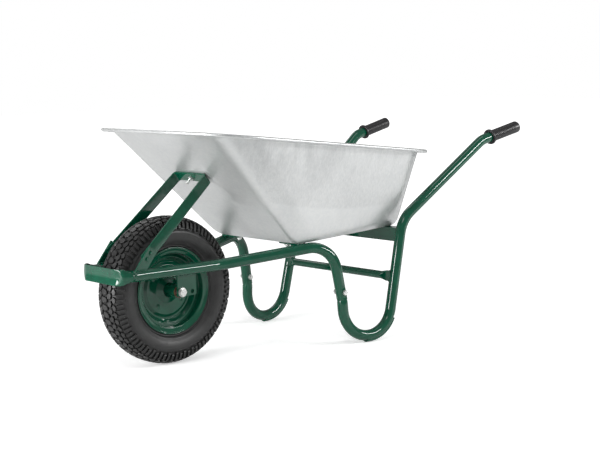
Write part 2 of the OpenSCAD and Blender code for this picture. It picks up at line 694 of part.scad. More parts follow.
// A strip of thickness t along the line p
function strip(p, t) = concat([for (i = [0:len(p) - 1]) p[i] + side_normal(p, i) * t / 2],
    [for (i = [len(p) - 1:-1:0]) p[i] - side_normal(p, i) * t / 2]);
module rim_half() {
    color(paint) on_axle() difference() {
        rotate_extrude($fn = 96) polygon(strip(rim_line(), rim_t));
        translate([0, 0, -1]) cylinder(r = hub_r, h = 40);
    }
}
module rim_right() {
    difference() {
        rim_half();
        color(paint) on_axle() valve_place() translate([0, 0, 10]) cylinder(r = valve_r + 0.3, h = 22);
    }
}
module rim_left() { mirror([0, 1, 0]) rim_half(); }

hub_ir = hub_r - hub_wall;
module hub_tube() {
    color(paint) on_axle() translate([0, 0, -hub_len / 2]) difference() {
        cylinder(r = hub_r, h = hub_len);
        translate([0, 0, -1]) cylinder(r = hub_ir, h = hub_len + 2);
    }
}
bush_in = 22;
bush_flange_d = 32;
axle_r = axle_d / 2;
module hub_bush() {
    color(brown) on_axle() difference() {
        union() {
            translate([0, 0, hub_len / 2 - bush_in]) cylinder(r = hub_ir, h = bush_in);
            translate([0, 0, hub_len / 2]) cylinder(d = bush_flange_d, h = bush_flange_t);
        }
        translate([0, 0, hub_len / 2 - bush_in - 1]) cylinder(r = axle_r + run_clear, h = 40);
    }
}

// ---- valve: its stem passes through the right rim half's well ----
valve_at = 118;
valve_r = 5;
valve_lean = 25;
valve_root_r = bead_r + 1.5;
module valve_place() {
    rotate([0, 0, valve_at]) translate([valve_root_r, 0, 2]) rotate([0, valve_lean - 90, 0]) children();
}
module valve_stem() {
    color(rubber) on_axle() valve_place() {
        cylinder(r = valve_r, h = 31);
        cylinder(r = 3.8, h = 46);
    }
}
module valve_cap() {
    color(rubber) on_axle() valve_place() translate([0, 0, 37]) difference() {
        cylinder(r = 5, h = 13);
        translate([0, 0, -1]) cylinder(r = 3.85, h = 10.5);
    }
}

// ---- axle ----
washer_t = 2;
washer_d = 24;
bracket_out_y = bracket_in_y + bracket_t;
head_in_y = bracket_out_y + washer_t;
axle_head_t = 7;
nut_t = 10;
axle_end_y = head_in_y + nut_t + 4;
module axle_bolt() {
    color(zinc) on_axle() {
        translate([0, 0, -head_in_y]) cylinder(r = axle_r, h = head_in_y + axle_end_y);
        translate([0, 0, -head_in_y - 2.5]) cylinder(d = axle_head_d, h = 2.5);
        translate([0, 0, -head_in_y - axle_head_t]) cylinder(d = 21, h = axle_head_t - 2.5, $fn = 6);
    }
}
module axle_nut() {
    color(zinc) on_axle() translate([0, 0, head_in_y]) difference() {
        cylinder(d = 21.5, h = nut_t, $fn = 6);
        translate([0, 0, -1]) cylinder(r = axle_r, h = nut_t + 2);
    }
}
module axle_washers() {
    color(zinc) on_axle() for (z = [-head_in_y, bracket_out_y]) translate([0, 0, z]) difference() {
        cylinder(d = washer_d, h = washer_t);
        translate([0, 0, -1]) cylinder(r = axle_r + 0.2, h = washer_t + 2);
    }
}
spacer_from = hub_len / 2 + bush_flange_t + end_play;
module axle_spacers() {
    color(zinc) on_axle() mirrored_z() translate([0, 0, spacer_from]) difference() {
        cylinder(d = 22, h = bracket_in_y - spacer_from);
        translate([0, 0, -1]) cylinder(r = axle_r + 0.2, h = 20);
    }
}
module mirrored_z() { children(); mirror([0, 0, 1]) children(); }

// ---- small fasteners ----
head_af = 13;
head_t = 5.3;
nut_h = 6.5;
hex_k = 2 / sqrt(3);
// A hexagon-headed bolt along +Z: the head's underside is at 0, the shank ends at len
module hex_bolt(len, r = bolt_r, af = head_af, head = head_t) {
    cylinder(r = r, h = len);
    translate([0, 0, -head]) cylinder(d = af * hex_k, h = head, $fn = 6);
}
module round_bolt(len) {
    cylinder(r = bolt_r, h = len);
    translate([0, 0, -3]) cylinder(r1 = 5, r2 = 8.5, h = 3);
}
module hex_nut(r = bolt_r, af = head_af, h = nut_h) {
    difference() {
        cylinder(d = af * hex_k, h = h, $fn = 6);
        translate([0, 0, -1]) cylinder(r = r, h = h + 2);
    }
}
// Children at the outer face of the leg joint, +Z pointing to the middle of the barrow
module at_joint(y) { translate([joint_pt[0], y, joint_pt[2]]) rotate([90, 0, 0]) children(); }
// The tube leans, so a flat head's rim meets it before its middle does
joint_seat = head_af / 2 * hex_k * abs(leg_dir[1] / leg_dir[2]) + 0.02;
joint_half = tube_r / cos(asin(abs(leg_dir[1]))) + joint_seat;
joint_out = joint_pt[1] + joint_half;
joint_in = joint_pt[1] - joint_half;
module leg_joint_bolts() {
    color(zinc) mirrored_pair() at_joint(joint_out) hex_bolt(2 * joint_half + nut_h + 3);
}
module leg_joint_nuts() { color(zinc) mirrored_pair() at_joint(joint_in) hex_nut(); }

module at_strut(p, y) { translate([p[0], y, p[2]]) rotate([90, 0, 0]) children(); }
strut_bolt_out = strut_out_y + tab_gap + strut_t;
strut_nut_y = strut_out_y - strut_t - 1.6;
small_af = 10;
small_head_t = 4;
small_nut_h = 5;
module strut_bolts() {
    color(paint) mirrored_pair() for (p = strut_bolt_at) at_strut(p, strut_bolt_out)
        hex_bolt(strut_bolt_out - strut_nut_y + small_nut_h + 2, strut_bolt_d / 2, small_af, small_head_t);
}
module strut_nuts() {
    color(zinc) mirrored_pair() for (p = strut_bolt_at) at_strut(p, strut_nut_y)
        hex_nut(strut_bolt_d / 2, small_af, small_nut_h);
}

// The strut's top bolt has its round head inside the tray and its nut under the cross piece
wall_through = sheet_t / cos(7) + 3.5;
strut_bolt_end = 18;
module strut_tray_bolt() {
    color(zinc) strut_frame() translate([0, strut_len + wall_through, 0]) rotate([90, 0, 0])
        round_bolt(wall_through + strut_t + nut_h + strut_bolt_end);
}
module strut_tray_nut() {
    color(zinc) strut_frame() translate([0, strut_len - strut_t, 0]) rotate([90, 0, 0]) hex_nut();
}

module tray_bolt(p, under) {
    color(zinc) on_floor(p[0]) translate([0, p[1], sheet_t]) rotate([180, 0, 0]) round_bolt(sheet_t + under + nut_h + 3);
}
module tray_bolts() {
    mirrored_pair() {
        tray_bolt(tray_front_bolt, tab_t);
        tray_bolt(tray_rear_bolt, support_t);
    }
}
module tray_nut(p, under) {
    color(zinc) on_floor(p[0]) translate([0, p[1], -under]) rotate([180, 0, 0]) hex_nut();
}
module tray_nuts() {
    mirrored_pair() {
        tray_nut(tray_front_bolt, tab_t);
        tray_nut(tray_rear_bolt, support_t);
    }
}

placed() tray();
placed() front_frame();
placed() mirror([0, 1, 0]) leg_handle();  // leg_handle_left
placed() leg_handle();  // leg_handle_right
placed() mirror([0, 1, 0]) grip();  // grip_left
placed() grip();  // grip_right
placed() leg_brace();
placed() rear_support();
placed() front_strut();
placed() mirror([0, 1, 0]) strut_tab();  // strut_tab_left
placed() strut_tab();  // strut_tab_right
placed() mirror([0, 1, 0]) axle_bracket();  // axle_bracket_left
placed() axle_bracket();  // axle_bracket_right
placed() mirror([0, 1, 0]) tray_tab();  // tray_tab_left
placed() tray_tab();  // tray_tab_right
placed() mirror([0, 1, 0]) foot_skid();  // foot_skid_left
placed() foot_skid();  // foot_skid_right
placed() axle_bolt();
placed() axle_nut();
placed() axle_washers();
placed() axle_spacers();
placed() rim_left();
placed() rim_right();
placed() hub_tube();
placed() mirror([0, 1, 0]) hub_bush();  // hub_bush_left
placed() hub_bush();  // hub_bush_right
placed() tyre();
placed() inner_tube();
placed() valve_stem();
placed() valve_cap();
placed() leg_joint_bolts();
placed() leg_joint_nuts();
placed() strut_bolts();
placed() strut_nuts();
placed() strut_tray_bolt();
placed() strut_tray_nut();
placed() tray_bolts();
placed() tray_nuts();
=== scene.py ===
"""Looks of a single-wheel wheelbarrow: pressed tray, enamelled tube frame, wheel and grips.

Every length in the dataclasses is in millimetres, counted along X from the wheel axle, as
the construction has it. Meshes are in metres in the row frame.
"""

from __future__ import annotations

import json
import logging
import math
from dataclasses import dataclass, field
from enum import Enum
from typing import NamedTuple

import bpy
import numpy as np
from mathutils import Matrix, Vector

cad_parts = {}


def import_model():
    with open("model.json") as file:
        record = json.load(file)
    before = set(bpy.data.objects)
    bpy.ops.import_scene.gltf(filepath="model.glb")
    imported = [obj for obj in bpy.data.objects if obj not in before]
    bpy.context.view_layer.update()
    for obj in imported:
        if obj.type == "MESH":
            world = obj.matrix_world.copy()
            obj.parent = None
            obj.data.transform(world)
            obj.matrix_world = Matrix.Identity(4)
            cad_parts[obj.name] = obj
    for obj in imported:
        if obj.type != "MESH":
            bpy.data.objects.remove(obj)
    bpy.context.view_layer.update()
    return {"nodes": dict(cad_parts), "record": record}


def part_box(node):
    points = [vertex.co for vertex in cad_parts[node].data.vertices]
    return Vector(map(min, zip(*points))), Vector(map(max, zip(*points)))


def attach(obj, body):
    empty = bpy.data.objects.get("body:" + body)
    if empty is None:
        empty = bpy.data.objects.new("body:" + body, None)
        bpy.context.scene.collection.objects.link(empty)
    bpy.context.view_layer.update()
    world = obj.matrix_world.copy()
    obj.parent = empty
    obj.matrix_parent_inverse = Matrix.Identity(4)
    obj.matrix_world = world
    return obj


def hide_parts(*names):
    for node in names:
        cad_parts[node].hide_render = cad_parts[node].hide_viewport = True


log = logging.getLogger("wheelbarrow")

MM = 0.001
Array = np.ndarray
Vec3 = tuple[float, float, float]
Pair = tuple[float, float]
Socket = bpy.types.NodeSocket
Material = bpy.types.Material
ALONG, ACROSS, UP = np.eye(3)
OTHER_SIDE = np.array([1.0, -1.0, 1.0])


class Body(str, Enum):
    """The rigid bodies that a piece can ride on."""

    FRAME = "frame"
    WHEEL = "wheel"


class Slot(str, Enum):
    """The record's material slots."""

    SHEET = "galvanised_sheet"
    PAINT = "green_paint"
    ZINC = "zinc_plate"
    GRIP = "grip_rubber"
    TYRE = "tyre_rubber"
    TUBE = "tube_rubber"
    BUSH = "bush_plastic"


Finishes = dict[Slot, Material]


# ---- numbers ----


def unit(v: Array) -> Array:
    """The vectors of v, each divided by its own length."""
    v = np.asarray(v, dtype=float)
    return v / np.linalg.norm(v, axis=-1, keepdims=True)


def smoothstep(x: Array) -> Array:
    """The smooth step 3t^2 - 2t^3 of x held between 0 and 1."""
    t = np.clip(x, 0.0, 1.0)
    return t * t * (3.0 - 2.0 * t)


def round_angles(count: int) -> Array:
    """Angles of count points evenly round a circle, from 0."""
    return np.linspace(0.0, 2 * math.pi, count, endpoint=False)


def arc_corner(a: Array, c: Array, b: Array, radius: float, steps: int) -> Array:
    """The arc that rounds the corner c of the line a-c-b.

    The arc starts radius * tan(half the turn) before the corner. Its points are the
    centre plus radius times the start direction turned evenly towards the end direction.
    It has steps + 1 points.
    """
    u, v = unit(c - a), unit(b - c)
    turn = math.acos(float(np.clip(np.dot(u, v), -1.0, 1.0)))
    if turn < 1e-6 or radius <= 0.0:
        return np.repeat(c[None, :], steps + 1, axis=0)
    n = unit(v - u * np.dot(u, v))
    centre = c - u * radius * math.tan(turn / 2) + n * radius
    f = np.linspace(0.0, turn, steps + 1)[:, None]
    return centre + radius * (u * np.sin(f) - n * np.cos(f))


def rounded_line(corners: Array, radii: list[float], steps: int) -> Array:
    """An open line through the corners, each inner corner rounded to its radius."""
    p = np.asarray(corners, dtype=float)
    parts = [p[:1]]
    for i in range(1, len(p) - 1):
        if radii[i] > 0.0:
            parts.append(arc_corner(p[i - 1], p[i], p[i + 1], radii[i], steps))
        else:
            parts.append(p[i : i + 1])
    parts.append(p[-1:])
    return np.vstack(parts)


def resample(line: Array, spacing: float) -> Array:
    """The line with extra points, so that no part is longer than the spacing."""
    out = [line[:1]]
    for a, b in zip(line[:-1], line[1:]):
        m = max(1, int(math.ceil(np.linalg.norm(b - a) / spacing)))
        out.append(a + (b - a) * (np.arange(1, m + 1) / m)[:, None])
    return np.vstack(out)


# ---- meshes ----


class Shift:
    """Where the axle stands along X in the row frame, in millimetres."""

    x: float = 0.0

    @classmethod
    def find(cls) -> None:
        """Reads the axle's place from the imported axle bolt."""
        low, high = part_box("axle_bolt")
        cls.x = (low[0] + high[0]) / 2 / MM

    @classmethod
    def metres(cls, points: Array) -> Array:
        """Points in millimetres from the axle as row-frame metres."""
        return (np.asarray(points, dtype=float) + np.array([cls.x, 0.0, 0.0])) * MM


def ring_quads(m: int, n: int) -> Array:
    """Corner numbers of the faces between m closed rings of n points."""
    i, k = np.meshgrid(np.arange(m - 1), np.arange(n), indexing="ij")
    j = (k + 1) % n
    return np.stack([i * n + k, i * n + j, (i + 1) * n + j, (i + 1) * n + k], -1).reshape(-1, 4)


class Shell:
    """A mesh gathered from grids, in millimetres from the axle."""

    def __init__(self) -> None:
        """Starts empty."""
        self.points: list[Array] = []
        self.quads: list[Array] = []
        self.tris: list[Array] = []
        self.count = 0

    def _take(self, points: Array) -> int:
        """Adds points and returns the number of the first one."""
        first = self.count
        self.points.append(points.reshape(-1, 3))
        self.count += len(self.points[-1])
        return first

    def grid(self, g: Array, caps: bool = True, flip: bool = False) -> None:
        """Adds the surface of a grid of closed rings.

        Args:
            g: (rings, points in a ring, 3) positions.
            caps: the first and last rings are filled by a fan from their middle.
            flip: turns the faces over.
        """
        m, n = g.shape[:2]
        first = self._take(g)
        q = ring_quads(m, n)
        if flip:
            q = q[:, ::-1]
        self.quads.append(q + first)
        if caps:
            k = np.arange(n)
            j = (k + 1) % n
            for row, inward in ((0, True), (m - 1, False)):
                pole = self._take(g[row].mean(0))
                a, b = (j, k) if inward != flip else (k, j)
                ring = first + row * n
                self.tris.append(np.stack([ring + a, ring + b, np.full(n, pole)], -1))

    def copies(self, g: Array) -> None:
        """Adds many small closed blocks: (blocks, rings, points, 3), capped at both ends."""
        b, m, n = g.shape[:3]
        caps = g[:, [0, m - 1]].mean(2)
        first = self._take(np.concatenate([g.reshape(b, m * n, 3), caps], 1))
        base = first + np.arange(b)[:, None, None] * (m * n + 2)
        self.quads.append((ring_quads(m, n) + base).reshape(-1, 4))
        k = np.arange(n)
        j = (k + 1) % n
        low = np.stack([j, k, np.full(n, m * n)], -1)
        top = np.stack([(m - 1) * n + k, (m - 1) * n + j, np.full(n, m * n + 1)], -1)
        self.tris.append((np.vstack([low, top])[None] + base).reshape(-1, 3))

    def mirrored(self) -> "Shell":
        """This shell on the other side of the barrow, its faces turned to point out."""
        other = Shell()
        other._take(np.vstack(self.points) * OTHER_SIDE)
        other.quads = [q[:, ::-1] for q in self.quads]
        other.tris = [t[:, ::-1] for t in self.tris]
        return other

    def add_mirrored(self) -> None:
        """Adds the copy of everything so far on the other side."""
        other = self.mirrored()
        first = self._take(other.points[0])
        self.quads += [q + first for q in other.quads]
        self.tris += [t + first for t in other.tris]

    def build(self, name: str, crease: float) -> bpy.types.Object:
        """Makes the object at the origin, sharp where its faces turn by over crease degrees."""
        mesh = bpy.data.meshes.new(name)
        faces = [f for part in self.quads + self.tris for f in part.tolist()]
        mesh.from_pydata(Shift.metres(np.vstack(self.points)).tolist(), [], faces)
        mesh.validate()
        mesh.polygons.foreach_set("use_smooth", np.ones(len(mesh.polygons), dtype=bool))
        mesh.set_sharp_from_angle(angle=math.radians(crease))
        mesh.update()
        obj = bpy.data.objects.new(name, mesh)
        bpy.context.scene.collection.objects.link(obj)
        return obj


def place(shell: Shell, name: str, body: Body, slot: Slot, finishes: Finishes,
          *stands_for: str, crease: float = 32.0) -> None:
    """Builds a piece, dresses it and ties it to the frame in place of the nodes it stands for."""
    obj = shell.build(name, crease)
    obj.data.materials.append(finishes[slot])
    if stands_for:
        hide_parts(*stands_for)
    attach(obj, body.value)
    log.info("%s: %d faces", obj.name, len(obj.data.polygons))


# ---- paths ----


class BentBar:
    """A bar bent along a line of corners, with a frame that doesn't twist."""

    def __init__(self, corners: list, radii: list[float], spacing: float, steps: int,
                 side: Vec3 = (0.0, 1.0, 0.0)) -> None:
        """Works out the stations, no further apart than the spacing, with steps in each bend.

        The normal at each station is the side direction less its part along the tangent,
        and the binormal is tangent x normal.
        """
        line = resample(rounded_line(np.array(corners, dtype=float), radii, steps), spacing)
        keep = np.r_[True, np.linalg.norm(np.diff(line, axis=0), axis=1) > 1e-6]
        self.p = line[keep]
        step = np.diff(self.p, axis=0)
        self.s = np.r_[0.0, np.cumsum(np.linalg.norm(step, axis=1))]
        d = unit(step)
        self.t = unit(np.vstack([d[:1], d[:-1] + d[1:], d[-1:]]))
        ref = np.array(side)
        self.n = unit(ref - self.t * (self.t @ ref)[:, None])
        self.b = np.cross(self.t, self.n)

    def rings(self, out: Array, up: Array) -> Array:
        """(stations, points, 3) positions at offsets out along the normal, up the binormal."""
        return (self.p[:, None] + out[..., None] * self.n[:, None]
                + up[..., None] * self.b[:, None])


def circle_offsets(radius: Array, count: int) -> tuple[Array, Array]:
    """Offsets of a circle of points round each station: radius * (cos f, sin f)."""
    f = round_angles(count)
    r = np.atleast_1d(radius)[:, None]
    return r * np.cos(f), r * np.sin(f)


def lathe(profile: Array, centre: Array, axis: Array, side: Array, count: int) -> Array:
    """Rings of a profile turned about an axis, (profile points, count, 3).

    A point (radius, height) goes to centre + axis * height + radius * (side * cos f
    + (axis x side) * sin f).
    """
    f = round_angles(count)
    a, s = unit(axis), unit(side)
    ring = np.cos(f)[:, None] * s + np.sin(f)[:, None] * np.cross(a, s)
    return centre + profile[:, 1, None, None] * a + profile[:, 0, None, None] * ring[None]


# ---- finishes ----


class Graph:
    """A material's node tree, with short calls to grow it."""

    def __init__(self, name: str) -> None:
        """Makes the material with a bare shader and output."""
        self.material = bpy.data.materials.new(name)
        self.material.use_nodes = True
        self.tree = self.material.node_tree
        self.tree.nodes.clear()
        self.shader = self.tree.nodes.new("ShaderNodeBsdfPrincipled")
        out = self.tree.nodes.new("ShaderNodeOutputMaterial")
        self.fill(out.inputs["Surface"], self.shader.outputs["BSDF"])
        self.coords = self.node("TexCoord", "Object")

    def fill(self, socket: Socket, value: Socket | float | tuple) -> None:
        """Links an input to another socket, or sets its value."""
        if isinstance(value, Socket):
            self.tree.links.new(value, socket)
        else:
            socket.default_value = value

    def node(self, kind: str, output: str | int, inputs: dict | None = None,
             **settings: str) -> Socket:
        """Adds a node with its settings, fills its inputs and returns one output."""
        node = self.tree.nodes.new("ShaderNode" + kind)
        for key, value in settings.items():
            setattr(node, key, value)
        for key, value in (inputs or {}).items():
            self.fill(node.inputs[key], value)
        return node.outputs[output]

    def stretched(self, scale: Vec3) -> Socket:
        """Object coordinates stretched by a scale on each axis."""
        return self.node("Mapping", "Vector", {"Scale": scale, "Vector": self.coords})

    def noise(self, scale: float, detail: float = 3.0, rough: float = 0.5,
              coords: Socket | None = None, warp: float = 0.0) -> Socket:
        """Noise from 0 to 1."""
        return self.node("TexNoise", "Fac", {
            "Scale": scale, "Detail": detail, "Roughness": rough, "Distortion": warp,
            "Vector": coords or self.coords})

    def cells(self, scale: float) -> Socket:
        """A random grey for each cell of a cracked pattern."""
        colour = self.node("TexVoronoi", "Color", {"Scale": scale, "Vector": self.coords})
        return self.node("RGBToBW", "Val", {"Color": colour})

    def part(self, axis: str, of_normal: bool = False) -> Socket:
        """One coordinate of the surface point, in metres, or of its normal."""
        source = self.node("NewGeometry", "Normal") if of_normal else self.coords
        return self.node("SeparateXYZ", axis, {"Vector": source})

    def spread(self, value: Socket, low: float, high: float, start: float = 0.0,
               end: float = 1.0) -> Socket:
        """Takes a value between start and end to one between low and high."""
        return self.node("MapRange", "Result", {
            "From Min": start, "From Max": end, "To Min": low, "To Max": high, "Value": value})

    def maths(self, kind: str, a: Socket, b: Socket | float) -> Socket:
        """One sum of two values."""
        return self.node("Math", "Value", {0: a, 1: b}, operation=kind)

    def blend(self, value: Socket, first: Vec3, second: Vec3, start: float = 0.3,
              end: float = 0.7) -> Socket:
        """A colour that goes from first to second as value goes from start to end."""
        node = self.tree.nodes.new("ShaderNodeValToRGB")
        for stop, at, colour in zip(node.color_ramp.elements, (start, end), (first, second)):
            stop.position = at
            stop.color = (*colour, 1.0)
        self.fill(node.inputs["Fac"], value)
        return node.outputs["Color"]

    def darken(self, a: Socket, b: Socket, share: Socket | float) -> Socket:
        """Multiplies colour a by colour b, by a share."""
        return self.node("Mix", 2, {0: share, 6: a, 7: b}, data_type="RGBA", blend_type="MULTIPLY")

    def bump(self, value: Socket, strength: float, depth: float,
             under: Socket | None = None) -> Socket:
        """A bumped normal, over another one if it is given."""
        inputs = {"Strength": strength, "Distance": depth, "Height": value}
        if under is not None:
            inputs["Normal"] = under
        return self.node("Bump", "Normal", inputs)

    def set(self, **values: Socket | float | tuple) -> None:
        """Sets or links the shader's inputs, named with underscores for spaces."""
        for key, value in values.items():
            self.fill(self.shader.inputs[key.replace("_", " ")], value)


@dataclass(frozen=True)
class Enamel:
    """Thick glossy enamel over steel: a slight orange peel, and tone that pools a little."""

    name: str = "green_enamel"
    deep: Vec3 = (0.0010, 0.052, 0.027)
    light: Vec3 = (0.0020, 0.068, 0.036)
    gloss: Pair = (0.04, 0.09)
    peel_per_m: float = 190.0

    def build(self) -> Material:
        """The enamel's material."""
        g = Graph(self.name)
        tone = g.noise(26.0, 4.0, 0.6)
        g.set(Base_Color=g.blend(tone, self.deep, self.light),
              Roughness=g.spread(g.noise(48.0, 3.0), *self.gloss, 0.3, 0.7),
              Specular_IOR_Level=0.5,
              Normal=g.bump(g.noise(self.peel_per_m, 2.0), 0.02, 0.0006,
                            g.bump(g.noise(36.0, 2.0), 0.03, 0.001)))
        return g.material


@dataclass(frozen=True)
class ZincSheet:
    """Galvanised drawn sheet: faint upright draw lines, cloudy tone and a fine spangle."""

    name: str = "galvanised_sheet"
    dark: Vec3 = (0.61, 0.62, 0.618)
    pale: Vec3 = (0.68, 0.69, 0.685)
    draw_low: float = 0.374
    draw_middle: float = 0.13
    draw_sag: float = 0.30
    streaks_per_m: float = 95.0
    roughness: Pair = (0.30, 0.46)

    def build(self) -> Material:
        """The sheet's material."""
        g = Graph(self.name)
        upright = g.stretched((1.0, 1.0, 0.045))
        fine = g.noise(self.streaks_per_m * 3.2, 3.0, 0.65, upright)
        broad = g.noise(self.streaks_per_m * 0.16, 3.0, 0.6, upright, 0.6)
        clouds = g.noise(5.5, 4.0, 0.62, warp=0.8)
        spangle = g.cells(150.0)
        off = g.maths("ADD", g.part("X"), -self.draw_middle)
        line = g.maths("ADD", g.maths("MULTIPLY", g.maths("MULTIPLY", off, off), self.draw_sag),
                       self.draw_low)
        side = g.spread(g.maths("ABSOLUTE", g.part("Y", True), 0.0), 0.0, 1.0, 0.60, 0.85)
        drawn = g.maths("MULTIPLY", side, g.spread(g.maths("SUBTRACT", g.part("Z"), line),
                                                   0.0, 1.0, 0.0, 0.007))
        smudge = g.maths("MULTIPLY", side, g.spread(g.part("Z"), 0.0, 1.0, 0.44, 0.57))
        colour = g.blend(clouds, self.dark, self.pale, 0.34, 0.66)
        streak = g.blend(fine, (0.78, 0.785, 0.785), (0.98, 0.98, 0.98), 0.35, 0.65)
        colour = g.darken(colour, streak, g.maths("MULTIPLY", drawn, 0.62))
        dull = g.blend(broad, (0.70, 0.705, 0.71), (1.0, 1.0, 1.0), 0.40, 0.60)
        colour = g.darken(colour, dull, g.maths("MULTIPLY", smudge, 0.6))
        flakes = g.blend(spangle, (0.92, 0.93, 0.94), (1.0, 1.0, 1.0), 0.2, 0.8)
        colour = g.darken(colour, flakes, 0.6)
        rough = g.spread(g.maths("ADD", g.maths("MULTIPLY", fine, 0.5),
                                 g.maths("MULTIPLY", clouds, 0.5)), *self.roughness, 0.35, 0.65)
        g.set(Base_Color=colour, Metallic=0.72, Roughness=rough,
              Normal=g.bump(fine, 0.10, 0.0005, g.bump(g.noise(7.0, 2.0), 0.30, 0.004)))
        return g.material


@dataclass(frozen=True)
class Plated:
    """Bright zinc-plated steel with a little cloudiness."""

    name: str = "zinc_plate"
    dark: Vec3 = (0.50, 0.51, 0.50)
    pale: Vec3 = (0.78, 0.79, 0.77)

    def build(self) -> Material:
        """The plating's material."""
        g = Graph(self.name)
        cloud = g.noise(240.0, 4.0, 0.6)
        g.set(Base_Color=g.blend(cloud, self.dark, self.pale), Metallic=0.9,
              Roughness=g.spread(cloud, 0.22, 0.40, 0.3, 0.7),
              Normal=g.bump(g.noise(900.0, 2.0), 0.08, 0.0003))
        return g.material


@dataclass(frozen=True)
class Rubber:
    """Moulded rubber: near black, faintly mottled, with a fine skin."""

    name: str
    dark: Vec3
    pale: Vec3
    roughness: Pair
    grain_per_m: float = 700.0
    grain: float = 0.25

    def build(self) -> Material:
        """The rubber's material."""
        g = Graph(self.name)
        mottle = g.noise(38.0, 5.0, 0.65)
        g.set(Base_Color=g.blend(mottle, self.dark, self.pale),
              Roughness=g.spread(g.noise(90.0, 3.0), *self.roughness, 0.3, 0.7),
              Normal=g.bump(g.noise(self.grain_per_m, 3.0, 0.6), self.grain, 0.0004))
        return g.material


@dataclass(frozen=True)
class Nylon:
    """Brown moulded nylon of the wheel bushes."""

    name: str = "bush_nylon"

    def build(self) -> Material:
        """The nylon's material."""
        g = Graph(self.name)
        g.set(Base_Color=g.blend(g.noise(160.0, 3.0), (0.075, 0.034, 0.018), (0.12, 0.055, 0.03)),
              Roughness=g.spread(g.noise(300.0), 0.38, 0.52, 0.3, 0.7),
              Normal=g.bump(g.noise(800.0), 0.1, 0.0002))
        return g.material


def build_finishes() -> Finishes:
    """Every finish, by the record's slot."""
    return {
        Slot.PAINT: Enamel().build(),
        Slot.SHEET: ZincSheet().build(),
        Slot.ZINC: Plated().build(),
        Slot.GRIP: Rubber("grip_rubber", (0.006, 0.006, 0.007), (0.013, 0.013, 0.014),
                          (0.30, 0.44), 900.0, 0.08).build(),
        Slot.TYRE: Rubber("tyre_rubber", (0.0105, 0.0105, 0.0105), (0.020, 0.020, 0.020),
                          (0.36, 0.52), 650.0, 0.3).build(),
        Slot.TUBE: Rubber("tube_rubber", (0.012, 0.012, 0.013), (0.02, 0.02, 0.021),
                          (0.45, 0.6)).build(),
        Slot.BUSH: Nylon().build(),
    }


# ---- frame ----


